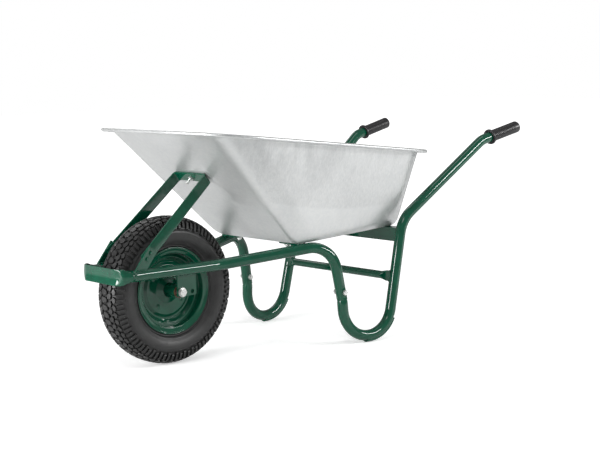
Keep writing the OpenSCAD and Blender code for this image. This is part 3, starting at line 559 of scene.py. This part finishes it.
@dataclass
class Tubework:
    """The painted frame: front tube with its crushed nose, leg tubes, strut and welds."""

    radius: float = 15.0
    nose_x: float = -199.0
    nose_h: float = 42.0
    nose_hollow: float = 5.5
    fork_y: float = 80.0
    fork_slope: float = -0.019
    fork_level: float = 261.0
    splay_x: float = 118.0
    splay: float = 0.375
    rise: float = 0.105
    arch_x: float = 423.8
    seam_drop: Vec3 = (25.9, 9.7, -157.1)
    bends: Vec3 = (20.0, 110.0, 75.0)
    foot_y: float = 220.0
    foot_toe: float = 8.0
    foot_z: float = 18.5
    foot_x: Pair = (451.0, 602.0)
    foot_bend: float = 84.0
    handle_pt: Vec3 = (676.0, 221.0, 330.0)
    grip_pt: Vec3 = (976.0, 263.0, 540.0)
    end_pt: Vec3 = (1120.0, 273.0, 571.0)
    around: int = 56
    strut_low: Vec3 = (-111.7, 0.0, 306.7)
    strut_lean: float = 40.4
    strut_tail: float = 15.0
    strut_top_y: float = 69.0
    strut_size: Pair = (30.0, 5.0)
    dent_at: Pair = (7.0, 34.0)
    dent_deep: float = 1.5
    dent_long: float = 3.2
    dent_wide: float = 0.20
    lip_deep: float = 1.1
    lip_long: float = 1.6
    weld_gap: float = 0.6

    def fork_z(self, x: float) -> float:
        """Height of the fork tube's middle at x."""
        return self.fork_level + self.fork_slope * (x + 200.0)

    def on_splay(self, x: float) -> Array:
        """The middle of the spreading tube at x."""
        d = x - self.splay_x
        z = self.fork_z(self.splay_x) + self.rise * d
        return np.array([x, self.fork_y + self.splay * d, z])

    @property
    def seam(self) -> Array:
        """Where the front tube ends and the leg tube begins."""
        return self.on_splay(self.arch_x) + np.array(self.seam_drop)

    @property
    def leg_corners(self) -> list:
        """Corners of the leg and handle tube, from the seam to the grip."""
        return [self.seam + unit(np.array(self.seam_drop)) * 0.3,
                (self.foot_x[0], self.foot_y - self.foot_toe, self.foot_z),
                self.foot_rear, self.handle_pt, self.grip_pt, self.end_pt]

    @property
    def foot_rear(self) -> Array:
        """The corner between the foot and the rear leg."""
        return np.array([self.foot_x[1], self.foot_y + self.foot_toe, self.foot_z])

    def on_rear_leg(self, z: float) -> Array:
        """The middle of the rear leg at a height."""
        head = np.array(self.handle_pt)
        foot = self.foot_rear
        return foot + (head - foot) * (z - self.foot_z) / (head[2] - self.foot_z)

    def nose_shape(self, s: Array) -> tuple[Array, ...]:
        """The nose tube's section at a distance s from the middle of the bar.

        The section is a flattened oval: offset outwards = a cos f + d - h cos^2 f and
        offset up = b sin f, and its sides stand back along the tube by lag cos^2 f. Across
        the bar the face is pressed in by h; round the bend it swells to a tall disc; behind
        the bend a curved crease steps down to the round tube.

        Returns:
            Half thickness a, half height b, offset d, hollow h and the lag.
        """
        arc = self.bends[0] * math.pi / 2
        bend_start = self.fork_y - self.bends[0]
        turn = np.clip((s - bend_start) / arc, 0.0, 1.0)
        first = smoothstep(turn * 2.0)
        second = smoothstep(turn * 2.0 - 1.0)
        past = s - bend_start - arc
        crease = smoothstep((past + 8.0) / 3.6)
        fade = smoothstep((past + 4.0) / 16.0)
        tall = self.nose_h / 2
        pressed = 1.0 - smoothstep((turn - 0.30) / 0.35)
        swept = 1.0 - smoothstep((past + 3.0) / 48.0)

        def along(bar: float, corner: float, flare: float, crest: float, tube: float) -> Array:
            """A value that steps from the bar by way of the corner and the crease to the tube."""
            v = bar + (corner - bar) * first
            v = v + (flare - v) * second
            v = v + (crest - v) * crease
            return v + (tube - v) * fade

        half_thick = along(2.8, 6.8, 10.4, 15.3, self.radius)
        half_tall = along(tall, tall, tall - 0.5, self.radius + 2.2, self.radius)
        offset = along(7.2, 5.6, 1.2, 0.1, 0.0)
        lag = along(0.0, 3.0, 15.0, 21.0, 21.0) * swept
        return half_thick, half_tall, offset, self.nose_hollow * pressed, lag

    def front_tube(self) -> Shell:
        """The tube from seam to seam round the nose, with two dents at each leg joint."""
        start = np.array([self.nose_x, 0.0, self.fork_z(self.nose_x)])
        corner = np.array([self.nose_x, self.fork_y, self.fork_z(self.nose_x)])
        splay_pt = np.array([self.splay_x, self.fork_y, self.fork_z(self.splay_x)])
        corners = [start, corner, splay_pt, self.on_splay(self.arch_x), self.seam]
        bar = BentBar(corners, [0.0, *self.bends, 0.0], spacing=2.5, steps=22)
        flat = bar.s < 200.0
        bar.b[flat] = unit(UP - bar.t[flat] * (bar.t[flat] @ UP)[:, None])
        bar.n[flat] = np.cross(bar.b[flat], bar.t[flat])
        a, b, d, h, lag = (v[:, None] for v in self.nose_shape(bar.s))
        f = round_angles(self.around)[None]
        left = bar.s[-1] - bar.s[:, None]
        dent = sum(self.dent_deep * np.exp(-((left - at) / self.dent_long) ** 2)
                   * np.exp(-(np.sin((f - face) / 2) / self.dent_wide) ** 2)
                   for at in self.dent_at for face in (0.0, math.pi))
        c = np.cos(f)
        out = (a - dent) * c + d - h * c * c
        up = (b - dent) * np.sin(f)
        half = bar.rings(out, up) + (lag * c * c)[..., None] * bar.t[:, None]
        shell = Shell()
        shell.grid(np.concatenate([half[:0:-1] * OTHER_SIDE, half]))
        return shell

    def leg_tube(self) -> Shell:
        """One leg and handle tube, with a rolled lip where it meets the front tube."""
        bar = BentBar(self.leg_corners, [0.0, self.foot_bend, self.foot_bend, 100.0, 70.0, 0.0],
                      spacing=8.0, steps=30)
        lip = self.lip_deep * np.exp(-(bar.s / self.lip_long) ** 2)
        shell = Shell()
        shell.grid(bar.rings(*circle_offsets(self.radius - lip, self.around)))
        return shell

    def strut(self) -> Shell:
        """The flat bar bent to a U, its edges rounded by a superellipse section."""
        lean = math.radians(self.strut_lean)
        d = np.array([math.cos(lean), 0.0, math.sin(lean)])
        low = np.array(self.strut_low)
        width, thick = self.strut_size
        length = self.strut_length(d) - thick / 2
        foot = low + np.array([0.0, self.fork_y + 3.0 - thick / 2, 0.0]) - self.strut_tail * d
        top = low + np.array([0.0, self.strut_top_y - thick / 2, 0.0]) + length * d
        bar = BentBar([foot, top, top * OTHER_SIDE, foot * OTHER_SIDE], [0.0, 9.0, 9.0, 0.0],
                      10.0, 12, (d[2], 0.0, -d[0]))
        f = round_angles(28)
        c, s = np.cos(f), np.sin(f)
        out = np.sign(c) * np.abs(c) ** 0.14 * width / 2
        up = np.sign(s) * np.abs(s) ** 0.34 * thick / 2
        shell = Shell()
        shell.grid(bar.rings(np.tile(out, (len(bar.p), 1)), np.tile(up, (len(bar.p), 1))))
        return shell

    def strut_length(self, d: Array) -> float:
        """Distance from the lower bolts along d to the tray's front wall, less a hair."""
        reach_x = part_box("front_strut")[1][0] / MM - Shift.x - self.strut_low[0]
        return (reach_x - self.strut_size[0] / 2 * d[2]) / d[0]

    def weld(self, line: Array, radius: float = 2.4, wave: float = 3.4) -> Array:
        """Rings of a weld run along a line, whose radius ripples as radius * (1 + 0.16 cos)."""
        bar = BentBar(list(line), [0.0] * len(line), spacing=0.9, steps=2, side=(0.02, 0.03, 1.0))
        ends = smoothstep(bar.s / 2.5) * smoothstep((bar.s[-1] - bar.s) / 2.5)
        r = radius * (1 + 0.16 * np.cos(2 * math.pi * bar.s / wave)) * (0.35 + 0.65 * ends)
        out, up = circle_offsets(r, 8)
        return bar.rings(out, up)

    def fork_weld(self, x_a: float, x_b: float, y: float, side: float) -> Array:
        """A weld run along the fork tube, on top of it (side 1) or under it (side -1)."""
        off = min(abs(y - self.fork_y), self.radius - 0.1)
        reach = math.sqrt(self.radius ** 2 - off ** 2) + self.weld_gap
        x = np.linspace(x_a, x_b, 8)
        return self.weld(np.column_stack([x, np.full(8, y), self.fork_z(x) + side * reach]))

    def welds(self) -> Shell:
        """Weld runs where tabs, brackets, brace and rear bar meet the tubes."""
        shell = Shell()
        for y in (88.6, 82.6):
            shell.grid(self.fork_weld(-155.0, -119.0, y, 1.0))
        for y in (64.5, 70.8):
            shell.grid(self.fork_weld(-11.0, 46.0, y, -1.0))
        for z in (160.0, 188.5):
            run = self.on_rear_leg(z) + [[-13.5, dy, 0.0] for dy in np.linspace(-12.0, 6.0, 6)]
            shell.grid(self.weld(run, 2.2))
        low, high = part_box("rear_support")
        z_low, z_high = low[2] / MM, high[2] / MM
        face_x = low[0] / MM - Shift.x
        inside = self.on_rear_leg(z_high)[1] - self.radius + self.weld_gap
        edge = np.array([[face_x + 1.4 + (z - z_high) * -0.03, inside + 0.2 * k, z]
                         for k, z in enumerate(np.linspace(z_low + 3.0, z_high - 6.0, 8))])
        shell.grid(self.weld(edge, 2.3))
        a, b = self.on_splay(325.0), self.on_splay(355.0)
        tab = a + (b - a) * np.linspace(0, 1, 7)[:, None] + [0.0, -8.0, 12.9]
        shell.grid(self.weld(tab, 2.1))
        shell.add_mirrored()
        return shell

    def build(self, finishes: Finishes) -> None:
        """Builds and dresses the tubes, strut and welds."""
        leg = self.leg_tube()
        for shell, name, nodes, crease in (
                (self.front_tube(), "front_tube_painted", ("front_frame",), 32.0),
                (leg, "leg_tube_right", ("leg_handle_right",), 32.0),
                (leg.mirrored(), "leg_tube_left", ("leg_handle_left",), 32.0),
                (self.strut(), "strut_bar", ("front_strut",), 50.0),
                (self.welds(), "weld_runs", (), 60.0)):
            place(shell, name, Body.FRAME, Slot.PAINT, finishes, *nodes, crease=crease)


@dataclass
class Grips:
    """The ribbed rubber grips."""

    length: float = 116.0
    radius: float = 17.5
    collar: float = 22.8
    bore: float = 15.05
    rib: float = 5.2
    tube: Tubework = field(default_factory=Tubework)

    def profile(self) -> Array:
        """Radius against length: a rounded collar, a run of ribs, a plain band and a dome.

        Ribs are radius - 1.1 * (1 - |cos|^0.6) along the length, which gives broad lands
        with narrow grooves.
        """
        top = self.length
        collar = np.array([
            [self.bore + 0.1, 0.3], [self.collar - 2.5, 0.3], [self.collar - 0.8, 1.0],
            [self.collar, 3.0], [self.collar, 5.5], [self.collar - 1.0, 7.4],
            [self.collar - 3.0, 8.4], [self.radius + 0.4, 10.0]])
        z = np.linspace(11.0, top - 16.0, 240)
        wave = np.abs(np.cos(math.pi * (z - 11.0) / self.rib)) ** 0.6
        body = np.stack([self.radius - 0.2 - 1.1 * (1 - wave), z], 1)
        f = np.radians(np.linspace(0, 90, 10))
        band = np.array([[self.radius, top - 14.5], [self.radius, top - 3.0]])
        dome = np.stack([(self.radius - 3.5) + 3.5 * np.cos(f), top - 0.5 + 3.5 * np.sin(f)], 1)
        dish = np.array([[9.0, top + 3.0], [7.5, top + 2.2], [0.4, top + 2.0]])
        return np.vstack([collar, body, band, dome, dish])

    def build(self, finishes: Finishes) -> None:
        """Builds both grips."""
        end = np.array(self.tube.end_pt)
        d = unit(end - np.array(self.tube.grip_pt))
        right = Shell()
        right.grid(lathe(self.profile(), end - d * self.length, d, ACROSS, 72))
        for shell, name, node in ((right, "grip_sleeve_right", "grip_right"),
                                  (right.mirrored(), "grip_sleeve_left", "grip_left")):
            place(shell, name, Body.FRAME, Slot.GRIP, finishes, node, crease=40.0)


# ---- tray ----


@dataclass
class Tray:
    """The drawn tray: floor, flared wall, turned-out flange and rolled bead."""

    floor: tuple = ((310.0, 88.0, 60.0), (314.0, 171.0, 14.0), (372.0, 184.0, 120.0),
                    (722.0, 178.0, 46.0))
    rim: tuple = ((-30.0, 88.0, 200.0), (-4.0, 240.0, 62.0), (92.0, 271.0, 160.0),
                  (798.0, 241.0, 128.0))
    sheet: float = 1.5
    floor_slope: float = 0.0375
    rim_slope: float = -0.12
    rim_z0: float = 619.0
    lip: float = 26.0
    roll: float = 5.0
    floor_round: float = 16.0
    wall_round: float = 0.11
    lip_round: float = 9.0
    lip_start: float = 0.97
    tube_gap: float = 0.4
    arcs: tuple[int, ...] = (10, 12, 16, 20)
    straight: int = 5

    @property
    def crest(self) -> float:
        """Height of the floor's underside over x = 366, worked out from the tube under it."""
        tubes = Tubework()
        arch, splay_pt = tubes.on_splay(tubes.arch_x), tubes.on_splay(tubes.splay_x)
        d = unit(arch - splay_pt)
        turn = math.acos(float(np.dot(d, unit(np.array(tubes.seam_drop)))))
        start = arch - d * tubes.bends[2] * math.tan(turn / 2)
        return float(start[2]) + self.tube_gap + tubes.radius + self.tube_gap

    def floor_z(self, x: Array) -> Array:
        """Height of the floor's underside."""
        return self.crest + self.floor_slope * (x - 366.0)

    def rim_z(self, x: Array) -> Array:
        """Height of the flange's underside."""
        return self.rim_z0 + self.rim_slope * (x - self.rim[0][0])

    def outline(self, corners: tuple, grow: float) -> Array:
        """A level's plan outline, grown outwards and with its corners rounded.

        Each side moves out along its own normal; each corner is the meeting point of its
        two moved sides, p + grow * (n0 + n1) / (1 + n0 . n1), rounded to its radius.
        The corners are (x, half width, radius) from the front round to the rear.
        """
        c = np.array(corners)
        p = np.vstack([c[:, :2] * [1.0, -1.0], c[::-1, :2]])
        radii = np.maximum(np.r_[c[:, 2], c[::-1, 2]] + grow, 4.0)
        before, after = unit(p - np.roll(p, 1, 0)), unit(np.roll(p, -1, 0) - p)
        n0 = np.stack([before[:, 1], -before[:, 0]], 1)
        n1 = np.stack([after[:, 1], -after[:, 0]], 1)
        q = p + grow * (n0 + n1) / (1 + (n0 * n1).sum(1, keepdims=True))
        arcs = [arc_corner(q[i - 1], q[i], q[(i + 1) % 8], radii[i], self.arcs[min(i, 7 - i)])
                for i in range(8)]
        parts = []
        for i in range(8):
            a, b = arcs[i][-1], arcs[(i + 1) % 8][0]
            f = (np.arange(1, self.straight + 1) / (self.straight + 1))[:, None]
            parts += [arcs[i], a + (b - a) * f]
        return np.vstack(parts)

    def on_floor(self, grow: float) -> Array:
        """A ring in the plane of the floor."""
        p = self.outline(self.floor, grow)
        return np.column_stack([p, self.floor_z(p[:, 0])])

    def on_rim(self, grow: float, lift: float = 0.0) -> Array:
        """A ring in the plane of the flange."""
        p = self.outline(self.rim, grow)
        return np.column_stack([p, self.rim_z(p[:, 0]) + lift])

    def under_rings(self) -> Array:
        """Rings of the outer skin from the middle of the floor to the flange.

        The floor's edge and the flange's root are quadratic blends
        a (1-t)^2 + 2 b t (1-t) + c t^2 between the flat part, the sharp corner and the wall.
        """
        foot, head = self.on_floor(0.0), self.on_rim(0.0)
        inner = self.on_floor(-self.floor_round)
        centre = np.array([520.0, 0.0, self.floor_z(520.0)])

        def wall(t: float) -> Array:
            """The straight wall at share t of its height."""
            return foot + (head - foot) * t

        def blend(a: Array, b: Array, c: Array, steps: int) -> list[Array]:
            """Rings of the quadratic blend."""
            return [a * (1 - t) ** 2 + 2 * b * t * (1 - t) + c * t * t
                    for t in np.linspace(0, 1, steps)]

        rings = [centre + (inner - centre) * f for f in (0.02, 0.25, 0.5, 0.75, 0.93)]
        rings += blend(inner, foot, wall(self.wall_round), 9)
        rings += [wall(t) for t in np.linspace(self.wall_round, self.lip_start, 26)[1:-1]]
        rings += blend(wall(self.lip_start), head, self.on_rim(self.lip_round), 8)
        rings += [self.on_rim(self.lip_round + (self.lip - self.roll - self.lip_round) * t)
                  for t in (0.3, 0.65, 0.95)]
        return np.array(rings)

    def build(self, finishes: Finishes) -> None:
        """Builds the tray as one closed sheet."""
        under = self.under_rings()
        du = np.gradient(under, axis=0)
        dv = np.roll(under, -1, 1) - np.roll(under, 1, 1)
        inward = unit(np.cross(du, dv))
        inward[:5] = unit(np.array([-self.floor_slope, 0.0, 1.0]))
        inward[-3:] = unit(np.array([-self.rim_slope, 0.0, 1.0]))
        upper = under + inward * self.sheet
        start = math.pi - math.asin((self.roll - self.sheet) / self.roll)
        f = np.linspace(start, 2.5 * math.pi, 18)
        bead = np.array([self.on_rim(self.lip - self.roll + self.roll * math.cos(a),
                                     self.sheet - self.roll + self.roll * math.sin(a)) for a in f])
        shell = Shell()
        shell.grid(np.concatenate([under, bead, upper[::-1]]), flip=True)
        place(shell, "tray_sheet", Body.FRAME, Slot.SHEET, finishes, "tray", crease=50.0)


# ---- wheel ----


@dataclass
class Wheel:
    """Pneumatic tyre on two pressed rim halves."""

    radius: float = 196.5
    half_width: float = 49.5
    waist: float = 148.0
    fullness: float = 2.9
    groove: float = 6.0
    bead_r: float = 101.0
    flange_r: float = 115.5
    rim_half: float = 33.0
    well_r: float = 85.5
    disc_y: float = 6.0
    hub_r: float = 18.0
    rim_t: float = 2.0
    pitches: int = 60
    block_share: float = 0.465
    lugs: int = 82
    lug_share: float = 0.54
    side_drop: float = 0.85
    dimples: int = 4
    dimple_r: float = 52.0
    dimple_deep: float = 2.4
    dimple_wide: float = 4.2
    seed: int = 7

    @property
    def centre(self) -> Array:
        """The wheel's middle."""
        return np.array([0.0, 0.0, self.radius])

    def crown(self, a: Array, drop: Array | float) -> tuple[Array, Array]:
        """Radius and half width on the tyre's outside at angle a from the side to the crown.

        The upper half is the superellipse waist + (R - waist) sin^(2/n) a, w cos^(2/n) a.
        Under the tread both half axes shrink by the drop, the width by side_drop of it and
        only past the side wall.
        The angle is pi/2 at the crown, and past it the other side follows.
        """
        k = 2.0 / self.fullness
        s, c = np.sin(a), np.cos(a)
        top = self.radius - drop - self.waist
        side = self.side_drop * smoothstep((np.abs(s) - 0.10) / 0.16)
        return (self.waist + top * np.abs(s) ** k * np.sign(s),
                (self.half_width - side * drop) * np.abs(c) ** k * np.sign(c))

    def carcass(self) -> Shell:
        """The tyre without its blocks: crown at groove depth, side walls with moulded rings."""
        a = np.radians(np.linspace(0, 180, 61))
        r, y = self.crown(a, self.groove)
        side = np.array([
            [self.bead_r + 0.4, self.rim_half - 5.0], [self.flange_r - 3.0, self.rim_half - 3.2],
            [self.flange_r + 0.5, self.rim_half - 1.0], [self.flange_r + 3.5, self.rim_half + 1.6],
            [self.flange_r + 5.0, self.rim_half + 1.4], [123.0, 38.6], [130.0, 43.2],
            [138.0, 47.0]])
        line = resample(side, 1.2)
        line[:, 1] += sum(height * np.exp(-((line[:, 0] - at) / width) ** 2)
                          for height, at, width in ((0.5, 126.0, 0.9), (0.4, 133.5, 0.8)))
        outer = np.vstack([line, np.stack([r, y], 1)[1:-1], (line * [1.0, -1.0])[::-1]])
        foot = self.rim_half - 14.0
        inner = np.array([[self.bead_r + 0.4, -foot], [self.bead_r + 0.4, foot]])
        g = lathe(np.vstack([outer, inner, outer[:1]]), self.centre, ACROSS, ALONG, 240)
        shell = Shell()
        shell.grid(g, caps=False)
        return shell

    def blocks(self, shape: Array, theta: Array, a0: Array, a1: Array, width: float,
               jitter: Array) -> Array:
        """Tread blocks, each a chamfered prism that follows the tyre's outside.

        A corner (u, v) of the shape, both from -1 to 1, stands at theta + u * width and at
        the angle between a0 and a1 that v gives. Three rings carry it: one at the foot,
        one under the chamfer and one on top, drawn in by a tenth.
        The jitter turns each block's outline a little.
        """
        levels = ((1.0, self.groove + 1.5), (1.0, 1.3), (0.90, 0.25))
        cj, sj = np.cos(jitter)[:, None], np.sin(jitter)[:, None]
        out = []
        for shrink, drop in levels:
            u = (shape[None, :, 0] * cj - shape[None, :, 1] * sj) * shrink
            v = (shape[None, :, 1] * cj + shape[None, :, 0] * sj) * shrink
            a = (a0 + a1)[:, None] / 2 + v * (a1 - a0)[:, None] / 2
            r, y = self.crown(a, drop)
            th = theta[:, None] + u * width
            out.append(np.stack([r * np.cos(th), y, r * np.sin(th)], -1) + self.centre)
        return np.stack(out, 1)

    def tread(self) -> Shell:
        """Interlocking crown blocks in five rows, and upright lugs down both shoulders."""
        rng = np.random.default_rng(self.seed)
        shell = Shell()
        hook = np.array([[-0.95, -0.55], [-0.25, -0.95], [0.55, -0.70], [0.95, -0.15],
                         [0.60, 0.45], [0.80, 0.85], [-0.10, 0.95], [-0.60, 0.55], [-0.80, 0.05]])
        pitch = 2 * math.pi / self.pitches
        rows = ((48.0, 63.0, 0.0, 1), (64.5, 82.0, 0.5, -1), (83.0, 97.0, 0.0, 1),
                (98.0, 115.5, 0.5, -1), (117.0, 132.0, 0.0, 1))
        for low, high, phase, hand in rows:
            theta = ((np.arange(self.pitches) + phase) * pitch
                     + rng.uniform(-0.06, 0.06, self.pitches) * pitch)
            shape = hook * [1.0, float(hand)]
            if hand < 0:
                shape = shape[::-1]
            grown = rng.uniform(-0.8, 0.8, self.pitches)
            shell.copies(self.blocks(
                shape, theta, np.radians(low + grown), np.radians(high + grown),
                pitch * self.block_share, rng.uniform(-0.16, 0.16, self.pitches)))
        lug = np.array([[-1.0, -1.0], [1.0, -1.0], [1.0, 0.2], [0.86, 1.0], [-0.86, 1.0],
                        [-1.0, 0.2]])
        theta = np.arange(self.lugs) * 2 * math.pi / self.lugs
        reach = np.where(np.arange(self.lugs) % 2 == 0, 13.0, 18.0)
        top, still = np.full(self.lugs, 45.0), np.zeros(self.lugs)
        half = math.pi / self.lugs * self.lug_share
        shell.copies(self.blocks(lug, theta, np.radians(reach), np.radians(top), half, still))
        far = self.blocks(lug * [1.0, -1.0], theta[::-1] + 0.01, np.radians(180.0 - top),
                          np.radians(180.0 - reach), half, still)
        shell.copies(far[:, :, ::-1])
        return shell

    def rim_profile(self) -> Array:
        """The middle line of a rim half from lip to hub, its corners rounded."""
        corners = np.array([
            [self.flange_r - 0.6, self.rim_half + 1.4], [self.flange_r - 1.2, self.rim_half + 2.0],
            [self.flange_r - 5.0, self.rim_half - 0.4], [self.flange_r - 9.0, self.rim_half - 1.5],
            [self.bead_r - 1.2, self.rim_half - 2.4], [self.bead_r - 2.2, 13.6],
            [self.well_r + 3.0, 12.8],
            [self.well_r - 2.0, 5.5], [self.well_r - 6.0, 1.2], [74.0, 1.2], [66.0, self.disc_y],
            [36.0, self.disc_y], [26.0, self.disc_y + 5.0], [self.hub_r + 1.1, self.disc_y + 9.0]])
        radii = [0.0, 0.6, 1.6, 1.6, 1.4, 2.4, 2.0, 2.0, 1.6, 2.5, 2.5, 7.0, 5.0, 0.0]
        return resample(rounded_line(corners, radii, 6), 1.6)

    def rim(self) -> Shell:
        """The right rim half: the line given its thickness, with four pressed dimples.

        The sheet is the line moved both ways along its normal; a dimple pushes the disc out
        by deep exp(-(d / wide)^2), d being the distance from the dimple's middle.
        """
        line = self.rim_profile()
        d = unit(np.gradient(line, axis=0))
        n = np.stack([d[:, 1], -d[:, 0]], 1) * self.rim_t / 2
        loop = np.vstack([line + n, (line - n)[::-1], (line + n)[:1]])
        count = 288
        g = lathe(loop, self.centre, ACROSS, ALONG, count)
        f = round_angles(count)
        for k in range(self.dimples):
            at = math.radians(38.0 + 360.0 / self.dimples * k)
            turn = (f - at + math.pi) % (2 * math.pi) - math.pi
            away = np.hypot(loop[:, 0, None] - self.dimple_r, self.dimple_r * turn[None])
            g[..., 1] += self.dimple_deep * np.exp(-(away / self.dimple_wide) ** 2)
        shell = Shell()
        shell.grid(g, caps=False, flip=True)
        return shell

    def build(self, finishes: Finishes) -> None:
        """Builds the tyre with its tread, and both rims."""
        place(self.carcass(), "tyre_carcass", Body.WHEEL, Slot.TYRE, finishes, "tyre", crease=60.0)
        place(self.tread(), "tyre_tread", Body.WHEEL, Slot.TYRE, finishes, crease=25.0)
        right = self.rim()
        for shell, name, node in ((right, "rim_pressing_right", "rim_right"),
                                  (right.mirrored(), "rim_pressing_left", "rim_left")):
            place(shell, name, Body.WHEEL, Slot.PAINT, finishes, node, crease=40.0)


# ---- kept nodes ----


def dress_nodes(frame: dict, finishes: Finishes) -> None:
    """Gives every CAD node the finish of its slot."""
    slots = {s["node"]: s["material_slot"] for s in frame["record"]["subparts"]}
    for name, obj in frame["nodes"].items():
        material = finishes[Slot(slots[name])]
        if not obj.material_slots:
            obj.data.materials.append(material)
        for s in obj.material_slots:
            s.material = material


# ---- studio ----


def seen_rays(tree: bpy.types.NodeTree) -> Socket:
    """1 for camera and transmission rays, 0 for the rest."""
    path = tree.nodes.new("ShaderNodeLightPath")
    seen = tree.nodes.new("ShaderNodeMath")
    seen.operation = "MAXIMUM"
    tree.links.new(path.outputs["Is Camera Ray"], seen.inputs[0])
    tree.links.new(path.outputs["Is Transmission Ray"], seen.inputs[1])
    return seen.outputs["Value"]


class Lamp(NamedTuple):
    """A rectangular lamp: its place, the point it faces, its size in metres and its watts."""

    name: str
    at: Vec3
    aim: Vec3
    size: Pair
    power: float


@dataclass
class Studio:
    """Camera, floor, lamps and world."""

    eye: Vec3 = (-2096.896, -2879.282, 815.916)
    yaw: float = 0.7306460
    pitch: float = -0.1281943
    roll: float = -0.0248306
    lens: float = 81.298
    ambient: float = 0.34
    glow: Pair = (0.40, 1.0)
    glow_near: float = 1.0
    glow_far: float = 4.0
    floor_half: float = 14.0
    floor_z: float = -0.0006
    lamps: tuple[Lamp, ...] = (
        Lamp("strip", (1.8, -2.3, 1.3), (1.8, 0.0, 0.3), (2.2, 0.22), 66.0),
        Lamp("key", (-2.4, -2.0, 3.2), (0.0, 0.0, 0.3), (0.7, 0.7), 12.0),
        Lamp("front", (-3.2, 0.2, 0.7), (0.0, 0.0, 0.35), (1.6, 1.0), 105.0),
        Lamp("overhead", (0.0, -0.3, 2.9), (0.0, 0.0, 0.3), (2.4, 0.5), 10.0),
        Lamp("back", (0.6, 3.0, 2.6), (0.0, 0.0, 0.3), (2.2, 1.2), 14.0),
    )

    def camera(self) -> None:
        """Sets the camera: heading yaw from +Y towards +X, raised by pitch, turned by roll."""
        cy, sy = math.cos(self.yaw), math.sin(self.yaw)
        cp, sp = math.cos(self.pitch), math.sin(self.pitch)
        ahead = np.array([sy * cp, cy * cp, sp])
        right = np.array([cy, -sy, 0.0])
        up = np.cross(right, ahead)
        c, s = math.cos(self.roll), math.sin(self.roll)
        right, up = c * right + s * up, -s * right + c * up
        data = bpy.data.cameras.new("camera")
        data.lens = self.lens
        data.sensor_width = 36.0
        data.clip_end = 100.0
        obj = bpy.data.objects.new("camera", data)
        place = Matrix(np.column_stack([right, up, -ahead]).tolist()).to_4x4()
        place.translation = Shift.metres(np.array(self.eye))
        obj.matrix_world = place
        bpy.context.scene.collection.objects.link(obj)
        bpy.context.scene.camera = obj

    def add_lamp(self, lamp: Lamp) -> None:
        """Adds a lamp that faces its point."""
        data = bpy.data.lights.new(lamp.name, "AREA")
        data.shape = "RECTANGLE"
        data.size, data.size_y = lamp.size
        data.energy = lamp.power
        obj = bpy.data.objects.new(lamp.name, data)
        back = unit(np.array(lamp.at) - np.array(lamp.aim))
        side = unit(np.cross(UP, back))
        m = Matrix(np.column_stack([side, np.cross(back, side), back]).tolist()).to_4x4()
        m.translation = lamp.at
        obj.matrix_world = m
        bpy.context.scene.collection.objects.link(obj)

    def floor(self) -> None:
        """A pale floor that glows white to the camera and keeps a faint shadow."""
        mesh = bpy.data.meshes.new("floor")
        r, z = self.floor_half, self.floor_z
        mesh.from_pydata([(-r, -r, z), (r, -r, z), (r, r, z), (-r, r, z)], [], [(0, 1, 2, 3)])
        obj = bpy.data.objects.new("floor", mesh)
        bpy.context.scene.collection.objects.link(obj)
        mesh.materials.append(self.floor_finish())

    def floor_finish(self) -> Material:
        """Matte white that glows to camera and transmission rays, more so far away."""
        g = Graph("floor_white")
        g.set(Base_Color=(0.93, 0.93, 0.93, 1.0), Roughness=0.9, Specular_IOR_Level=0.0,
              Emission_Color=(1.0, 1.0, 1.0, 1.0))
        far = g.node("VectorMath", "Value", {0: g.coords}, operation="LENGTH")
        glow = g.spread(far, *self.glow, self.glow_near, self.glow_far)
        g.set(Emission_Strength=g.maths("MULTIPLY", glow, seen_rays(g.tree)))
        return g.material

    def world(self) -> None:
        """White for camera and transmission rays; an even soft light for the rest."""
        world = bpy.data.worlds.new("studio")
        bpy.context.scene.world = world
        world.use_nodes = True
        tree = world.node_tree
        tree.nodes.clear()
        out = tree.nodes.new("ShaderNodeOutputWorld")
        mix = tree.nodes.new("ShaderNodeMixShader")
        tree.links.new(seen_rays(tree), mix.inputs["Fac"])
        for socket, strength in ((1, self.ambient), (2, 1.0)):
            light = tree.nodes.new("ShaderNodeBackground")
            light.inputs["Color"].default_value = (1.0, 1.0, 1.0, 1.0)
            light.inputs["Strength"].default_value = strength
            tree.links.new(light.outputs["Background"], mix.inputs[socket])
        tree.links.new(mix.outputs["Shader"], out.inputs["Surface"])

    def build(self) -> None:
        """Builds the whole studio."""
        self.camera()
        self.floor()
        self.world()
        for lamp in self.lamps:
            self.add_lamp(lamp)
        bpy.context.scene.view_settings.view_transform = "Standard"


def main() -> None:
    """Loads the frame, then builds and dresses every piece in order."""
    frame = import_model()
    Shift.find()
    log.info("axle at x %.3f mm", Shift.x)
    finishes = build_finishes()
    dress_nodes(frame, finishes)
    Tubework().build(finishes)
    Grips().build(finishes)
    Tray().build(finishes)
    Wheel().build(finishes)
    Studio().build()
    bpy.context.view_layer.update()


if __name__ == "__main__":
    logging.basicConfig(level=logging.INFO, format="%(name)s: %(message)s")
    main()
